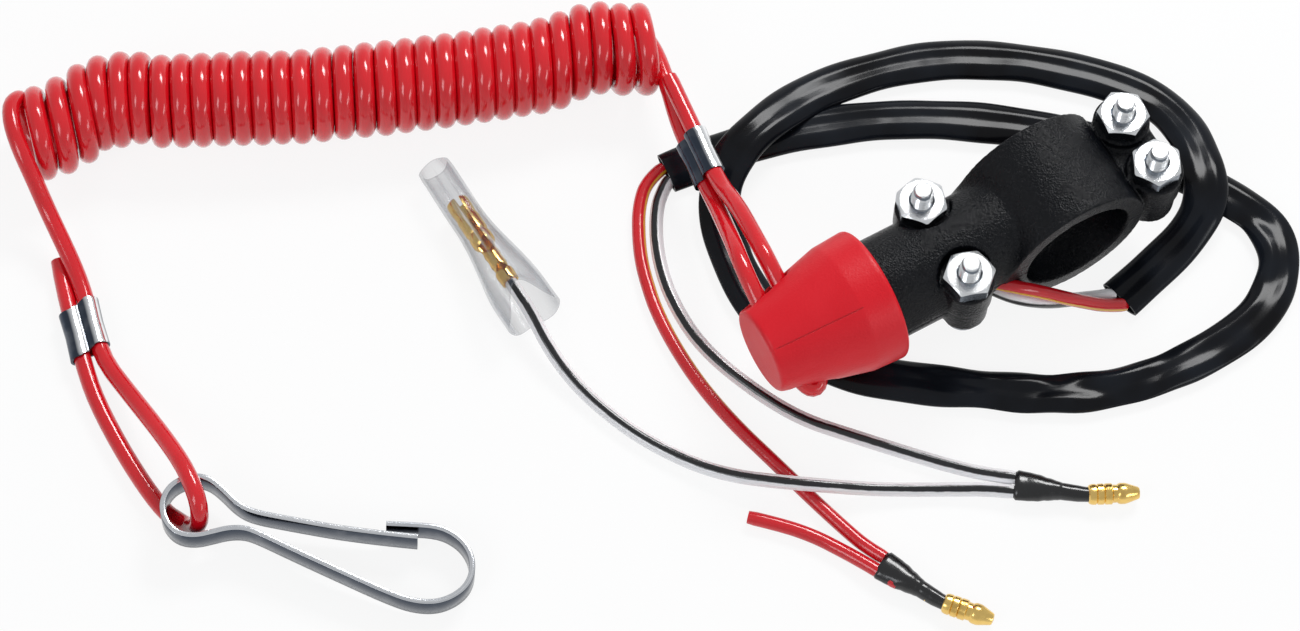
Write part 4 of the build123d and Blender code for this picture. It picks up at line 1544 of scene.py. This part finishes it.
@dataclass
class ClearEnd:
    """The female terminal and the clear insulator over it."""

    top: Place = (-0.0954, 0.0700, -0.0144)
    skirt: Place = (-0.0942, 0.0385, -0.01215)
    outer: float = 0.0069
    skirt_width: float = 0.0115
    body: float = 0.017
    length: float = 0.0384
    wall: float = 0.0005
    curl: float = 0.0012
    mouth_turn: float = 0.00012
    slit_above: float = 0.0052
    slit_below: float = 0.0010
    terminal_sides: int = 40
    tube_sides: int = 56
    tube_steps: int = 60

    def _axes(self) -> tuple[Vector, Vector, Vector, Vector]:
        """The directions that both pieces are built on.

        Returns:
            The top of the axis, its direction, the side and the upright.
        """
        start = Vector(self.top)
        along = (Vector(self.skirt) - start).normalized()
        side = UP.cross(along).normalized()
        return start, along, side, along.cross(side)

    def terminal(self, finish: bpy.types.Material) -> bpy.types.Object:
        """Makes the rolled receptacle with its crimps.

        Args:
            finish: Its material.

        Returns:
            The piece.
        """
        start, along, side, upright = self._axes()
        skin = Skin("terminal_rolled")

        def ring(
            station: float, radius: float, gap: float, squash: float, wall: float = 0.0
        ) -> list[Vector]:
            """An open ring with a gap on top.

            Args:
                station: Distance along the terminal.
                radius: The ring's radius.
                gap: The angle of the gap.
                squash: How much flatter the ring is than it is wide, as a share.
                wall: How far the ring lies inside the outer face.

            Returns:
                The points of the ring.
            """
            points = []
            for index in range(self.terminal_sides + 1):
                angle = math.pi / 2 + gap / 2 + (math.tau - gap) * index / self.terminal_sides
                size = radius * (1 - squash * abs(math.sin(angle)) ** 2) - wall
                outward = side * math.cos(angle) + upright * math.sin(angle)
                points.append(start + along * station + outward * size)
            return points

        def strip(rows: Sequence[tuple[float, float, float]], wall: float, squash: float = 0.0) -> None:
            """Adds an open rolled strip with a wall.

            Args:
                rows: The station, the radius and the gap of each ring.
                wall: The strip's thickness.
                squash: How much flatter it is than it is wide, as a share.
            """
            rings = [[*ring(*row, squash), *reversed(ring(*row, squash, wall))] for row in rows]
            skin.tube(rings, [station for station, _, _ in rows])

        strip(
            ((0.0090, 0.0022, 0.5), (0.0094, 0.0023, 0.45), (0.0110, 0.0023, 0.4), (0.0128, 0.00215, 0.35),
             (0.0136, 0.00235, 0.35), (0.0150, 0.0023, 0.4), (0.0166, 0.0023, 0.4), (0.0172, 0.0021, 0.35),
             (0.0180, 0.0023, 0.4), (0.0196, 0.0023, 0.5), (0.0202, 0.0020, 0.9)),
            0.0003,
        )
        strip(
            ((0.0200, 0.0019, 2.4), (0.0212, 0.0015, 2.6), (0.0222, 0.0016, 1.2), (0.0226, 0.00165, 0.25),
             (0.0238, 0.0015, 0.2), (0.0252, 0.00165, 0.25), (0.0258, 0.0015, 1.4), (0.0266, 0.0014, 2.6)),
            0.0003, 0.12,
        )
        strip(
            ((0.0266, 0.0015, 2.4), (0.0270, 0.0018, 0.8), (0.0276, 0.0019, 0.2), (0.0288, 0.0018, 0.2),
             (0.0296, 0.00175, 0.9)),
            0.00035, 0.05,
        )
        return dress(skin.piece(30.0), finish, "switch", ("female_terminal",))

    def insulator(self, finish: bpy.types.Material) -> bpy.types.Object:
        """Makes the clear tube with its flared, slit and curled end.

        Args:
            finish: Its material.

        Returns:
            The piece.
        """
        start, along, side, upright = self._axes()
        sides, steps = self.tube_sides, self.tube_steps
        skirt_at = (Vector(self.skirt) - start).length
        narrow, broad = self.outer / 2, self.skirt_width / 2

        def point(station: float, angle: float, wall: float) -> Vector:
            """A point of the tube, its skirt or its curled end.

            Args:
                station: Distance along the tube.
                angle: The direction round it.
                wall: How far the point lies inside the outer face.

            Returns:
                The point.
            """
            share = ramp(station, self.body - 0.003, skirt_at + 0.002)
            wave = 0.00012 * share * math.sin(3 * angle + 0.8)
            wave += 0.00008 * math.sin(5 * angle + station * 300.0)
            below = math.exp(-(((angle - math.pi * 1.5) / 0.55) ** 2))
            below *= ramp(station, skirt_at - 0.004, self.length)
            above = math.exp(-(((angle - math.pi * 0.52) / 0.6) ** 2))
            above *= ramp(station, skirt_at - 0.002, self.length)
            mouth = 1 - ramp(station, 0.0, 0.0012)
            reach = narrow + (broad - narrow) * share + wave - wall
            reach += self.curl * above - self.mouth_turn * mouth
            pull = -(self.slit_above * above + self.slit_below * below)
            pull *= ramp(station, skirt_at - 0.006, self.length)
            outward = side * math.cos(angle) + upright * math.sin(angle)
            return start + along * (station + pull) + outward * reach

        stations = [self.length * step / steps for step in range(steps + 1)]
        angles = [math.tau * index / sides for index in range(sides)]
        outer, inner = (
            [[point(station, angle, wall) for angle in angles] for station in stations]
            for wall in (0.0, self.wall)
        )
        skin = Skin("insulator_tube")
        skin.tube([*outer, *reversed(inner), outer[0]], [*stations, *reversed(stations), 0.0], capped=False)
        bmesh.ops.remove_doubles(skin.mesh, verts=skin.mesh.verts, dist=SAME_POINT)
        if min(vertex.co.z for vertex in skin.mesh.verts) < FLOOR_Z:
            for vertex in skin.mesh.verts:
                vertex.co.z = max(vertex.co.z, FLOOR_Z + 0.00005)
        return dress(skin.piece(60.0), finish, "insulator", ("clear_insulator",))


@dataclass
class Switch:
    """The housing, its screws and nuts, the cap and what is inside."""

    finishes: Finishes
    voxel: float = 0.00030
    cap_voxel: float = 0.00024
    screw_width: float = 0.00417
    tip_width: float = 0.0034
    thread_pitch: float = 0.0007
    seat_z: float = 0.0065
    head_seat_z: float = -0.006
    screw_length: float = 0.020
    tip_length: float = 0.0012
    nut_flats: float = 0.0087
    nut_height: float = 0.0032
    nut_sides: int = 72
    nut_turns: tuple[float, ...] = (12.0, 41.0, 25.0, 3.0)
    chamfer: float = 30.0
    bore: float = 0.00205
    places: tuple[tuple[float, float], ...] = (
        (-0.0237, 0.0086), (-0.0237, -0.0086), (0.0189, 0.0059), (0.0189, -0.0059),
    )
    screw_sides: int = 40
    tooth: float = 0.0005
    round_passes: int = 5

    def rounded(
        self, node: str, name: str, finish: bpy.types.Material, body: str, voxel: float
    ) -> bpy.types.Object:
        """Makes a softly rounded copy of a moulded solid.

        Args:
            node: The solid.
            name: The name of the piece.
            finish: Its material.
            body: The body that it rides on.
            voxel: The size of its cells.

        Returns:
            The piece.
        """
        copy = bpy.data.objects.new(name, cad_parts[node].data.copy())
        bpy.context.scene.collection.objects.link(copy)
        cells = copy.modifiers.new("cells", "REMESH")
        cells.mode = "VOXEL"
        cells.voxel_size = voxel
        soften = copy.modifiers.new("soften", "SMOOTH")
        soften.factor = 0.5
        soften.iterations = self.round_passes
        graph = bpy.context.evaluated_depsgraph_get()
        data = bpy.data.meshes.new_from_object(copy.evaluated_get(graph))
        data.name = name
        data.polygons.foreach_set("use_smooth", [True] * len(data.polygons))
        bpy.data.objects.remove(copy)
        made = bpy.data.objects.new(name, data)
        bpy.context.scene.collection.objects.link(made)
        return dress(made, finish, body, (node,))

    def screws(self) -> None:
        """Makes the four screws with their threads and slotted heads."""
        skin = Skin("clamp_screws_threaded")
        start = self.head_seat_z
        top = start + self.screw_length
        end = top - self.tip_length
        steps = round((end - start) / (self.thread_pitch / 6))
        heights = [start + (end - start) * step / steps for step in range(steps + 1)]
        tip = self.tip_width / 2
        tip_outline = (
            (0.0, tip), (0.0011, tip), (0.0013, tip - 0.0001), (0.0014, tip - 0.00028), (0.0014, 0.0),
        )
        for x, y in self.places:
            rings = []
            for z in heights:
                points = []
                for side in range(self.screw_sides):
                    turn = side / self.screw_sides
                    phase = (z / self.thread_pitch - turn) % 1.0
                    fade = 1 - ramp(end - z, 0.0, 0.0006)
                    radius = self.screw_width / 2 - self.tooth * abs(2 * phase - 1) - 0.0002 * fade
                    angle = math.tau * turn
                    points.append(Vector((x + radius * math.cos(angle), y + radius * math.sin(angle), z)))
                rings.append(points)
            skin.tube(rings, heights)
            turned(skin, Vector((x, y, end - 0.0002)), Vector((x, y, top)), tip_outline)
        dress(skin.piece(24.0), self.finishes.zinc, "switch", ("clamp_screws",))
        self.heads()

    def heads(self) -> None:
        """Makes the four round screw heads with their slots."""
        skin, cutter = Skin("screw_heads_slotted"), Skin("slots")
        z = self.head_seat_z
        outline = (
            (0.0, 0.0), (0.0, 0.0038), (0.0012, 0.0038), (0.0020, 0.0036), (0.0026, 0.0030),
            (0.0029, 0.0020), (0.003, 0.0010), (0.003, 0.0),
        )
        corners = ((-0.0023, -0.00055), (0.0023, -0.00055), (0.0023, 0.00055), (-0.0023, 0.00055))
        for x, y in self.places:
            turned(skin, Vector((x, y, z)), Vector((x, y, z - 0.003)), outline)
            slot = [[Vector((x + a, y + b, z - drop)) for a, b in corners] for drop in (0.0040, 0.0015)]
            cutter.tube(slot, (0.0, 0.002))
        whole, tool = skin.piece(24.0), cutter.piece()
        cut = whole.modifiers.new("slots", "BOOLEAN")
        cut.object = tool
        cut.operation = "DIFFERENCE"
        graph = bpy.context.evaluated_depsgraph_get()
        whole.data = bpy.data.meshes.new_from_object(whole.evaluated_get(graph))
        whole.modifiers.clear()
        bpy.data.objects.remove(tool)
        dress(whole, self.finishes.zinc, "switch")

    def _nut_outline(self, angle: float) -> list[tuple[float, float]]:
        """The nut's outline in one direction, from under its bore round its side to the thread.

        Args:
            angle: The direction from one of its corners.

        Returns:
            The distance from the axis and the height of each point.
        """
        flats, height = self.nut_flats / 2, self.nut_height
        slope = math.tan(math.radians(self.chamfer))
        full = flats / math.cos(angle % (math.pi / 3) - math.pi / 6)
        foot, crown = flats * 0.98, flats * 0.95
        low = min(max(full - foot, 0.0) * slope, 0.0008)
        top = height - max(full - crown, 0.0) * slope
        return [
            (0.0021, 0.0), (min(full, foot), 0.0), (full, low), (full, low + 0.0001), (full, top - 0.0001),
            (full, top), (crown, height), (self.bore + 0.0004, height), (self.bore, height - 0.0004),
            (self.bore, height - 0.002),
        ]

    def nuts(self) -> None:
        """Makes the four nuts with chamfered tops and threaded bores."""
        skin = Skin("clamp_nuts_chamfered")
        angles = [math.tau * side / self.nut_sides for side in range(self.nut_sides)]
        for (x, y), turn in zip(self.places, self.nut_turns):
            outlines = [self._nut_outline(angle - math.radians(turn)) for angle in angles]
            rings = [
                [
                    Vector((x + size * math.cos(angle), y + size * math.sin(angle), self.seat_z + z))
                    for angle, (size, z) in zip(angles, level)
                ]
                for level in zip(*outlines)
            ]
            skin.tube(rings, [index * MILLIMETRE for index in range(len(rings))], capped=False)
        dress(skin.piece(22.0), self.finishes.zinc, "switch", ("clamp_nuts",))

    def inside(self) -> None:
        """Gives the pieces inside the housing their finishes."""
        finishes = {
            self.finishes.inner: ("contact_block", "spring_seat", "plunger"),
            self.finishes.brass: ("contact_red", "contact_white", "contact_bridge"),
            self.finishes.spring: ("return_spring",),
        }
        for finish, nodes in finishes.items():
            for node in nodes:
                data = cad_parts[node].data
                data.materials.clear()
                data.materials.append(finish)
                LOG.info("finished %s", node)

    def build(self) -> None:
        """Makes every piece of the switch."""
        for node, name in (("housing_upper", "housing_top"), ("housing_lower", "housing_base")):
            self.rounded(node, name, self.finishes.housing, "switch", self.voxel)
        self.rounded("kill_cap", "cap_moulding", self.finishes.cap, "tether", self.cap_voxel)
        self.screws()
        self.nuts()
        self.inside()


def main() -> None:
    """Makes the camera, the cords, the other pieces and the studio, in that order."""
    logging.basicConfig(level=logging.INFO, format="%(message)s")
    studio = Studio()
    studio.camera()
    finishes = Finishes()
    hook = SnapHook().build(finishes.strip)
    shapes = (
        ("ferrule_cap", (-0.0521, 0.0432, -0.0077), (-0.05048, 0.0432, -0.00429), (-0.12, -0.993, 0.0),
         0.0094),
        ("ferrule_hook", (-0.1676, 0.0728, -0.01555), (-0.17135, 0.07185, -0.01555), (-0.21, -0.978, 0.0),
         0.010),
    )
    Lanyard(finishes).build(hook, [Ferrule(*shape).build(finishes.ferrule) for shape in shapes])
    harness = Harness(finishes)
    boots = harness.ends()
    clear = ClearEnd()
    boots["clear"] = [clear.terminal(finishes.brass), clear.insulator(finishes.clear)]
    harness.wires(boots)
    harness.sleeve()
    Switch(finishes).build()
    studio.build()


if __name__ == "__main__":
    main()
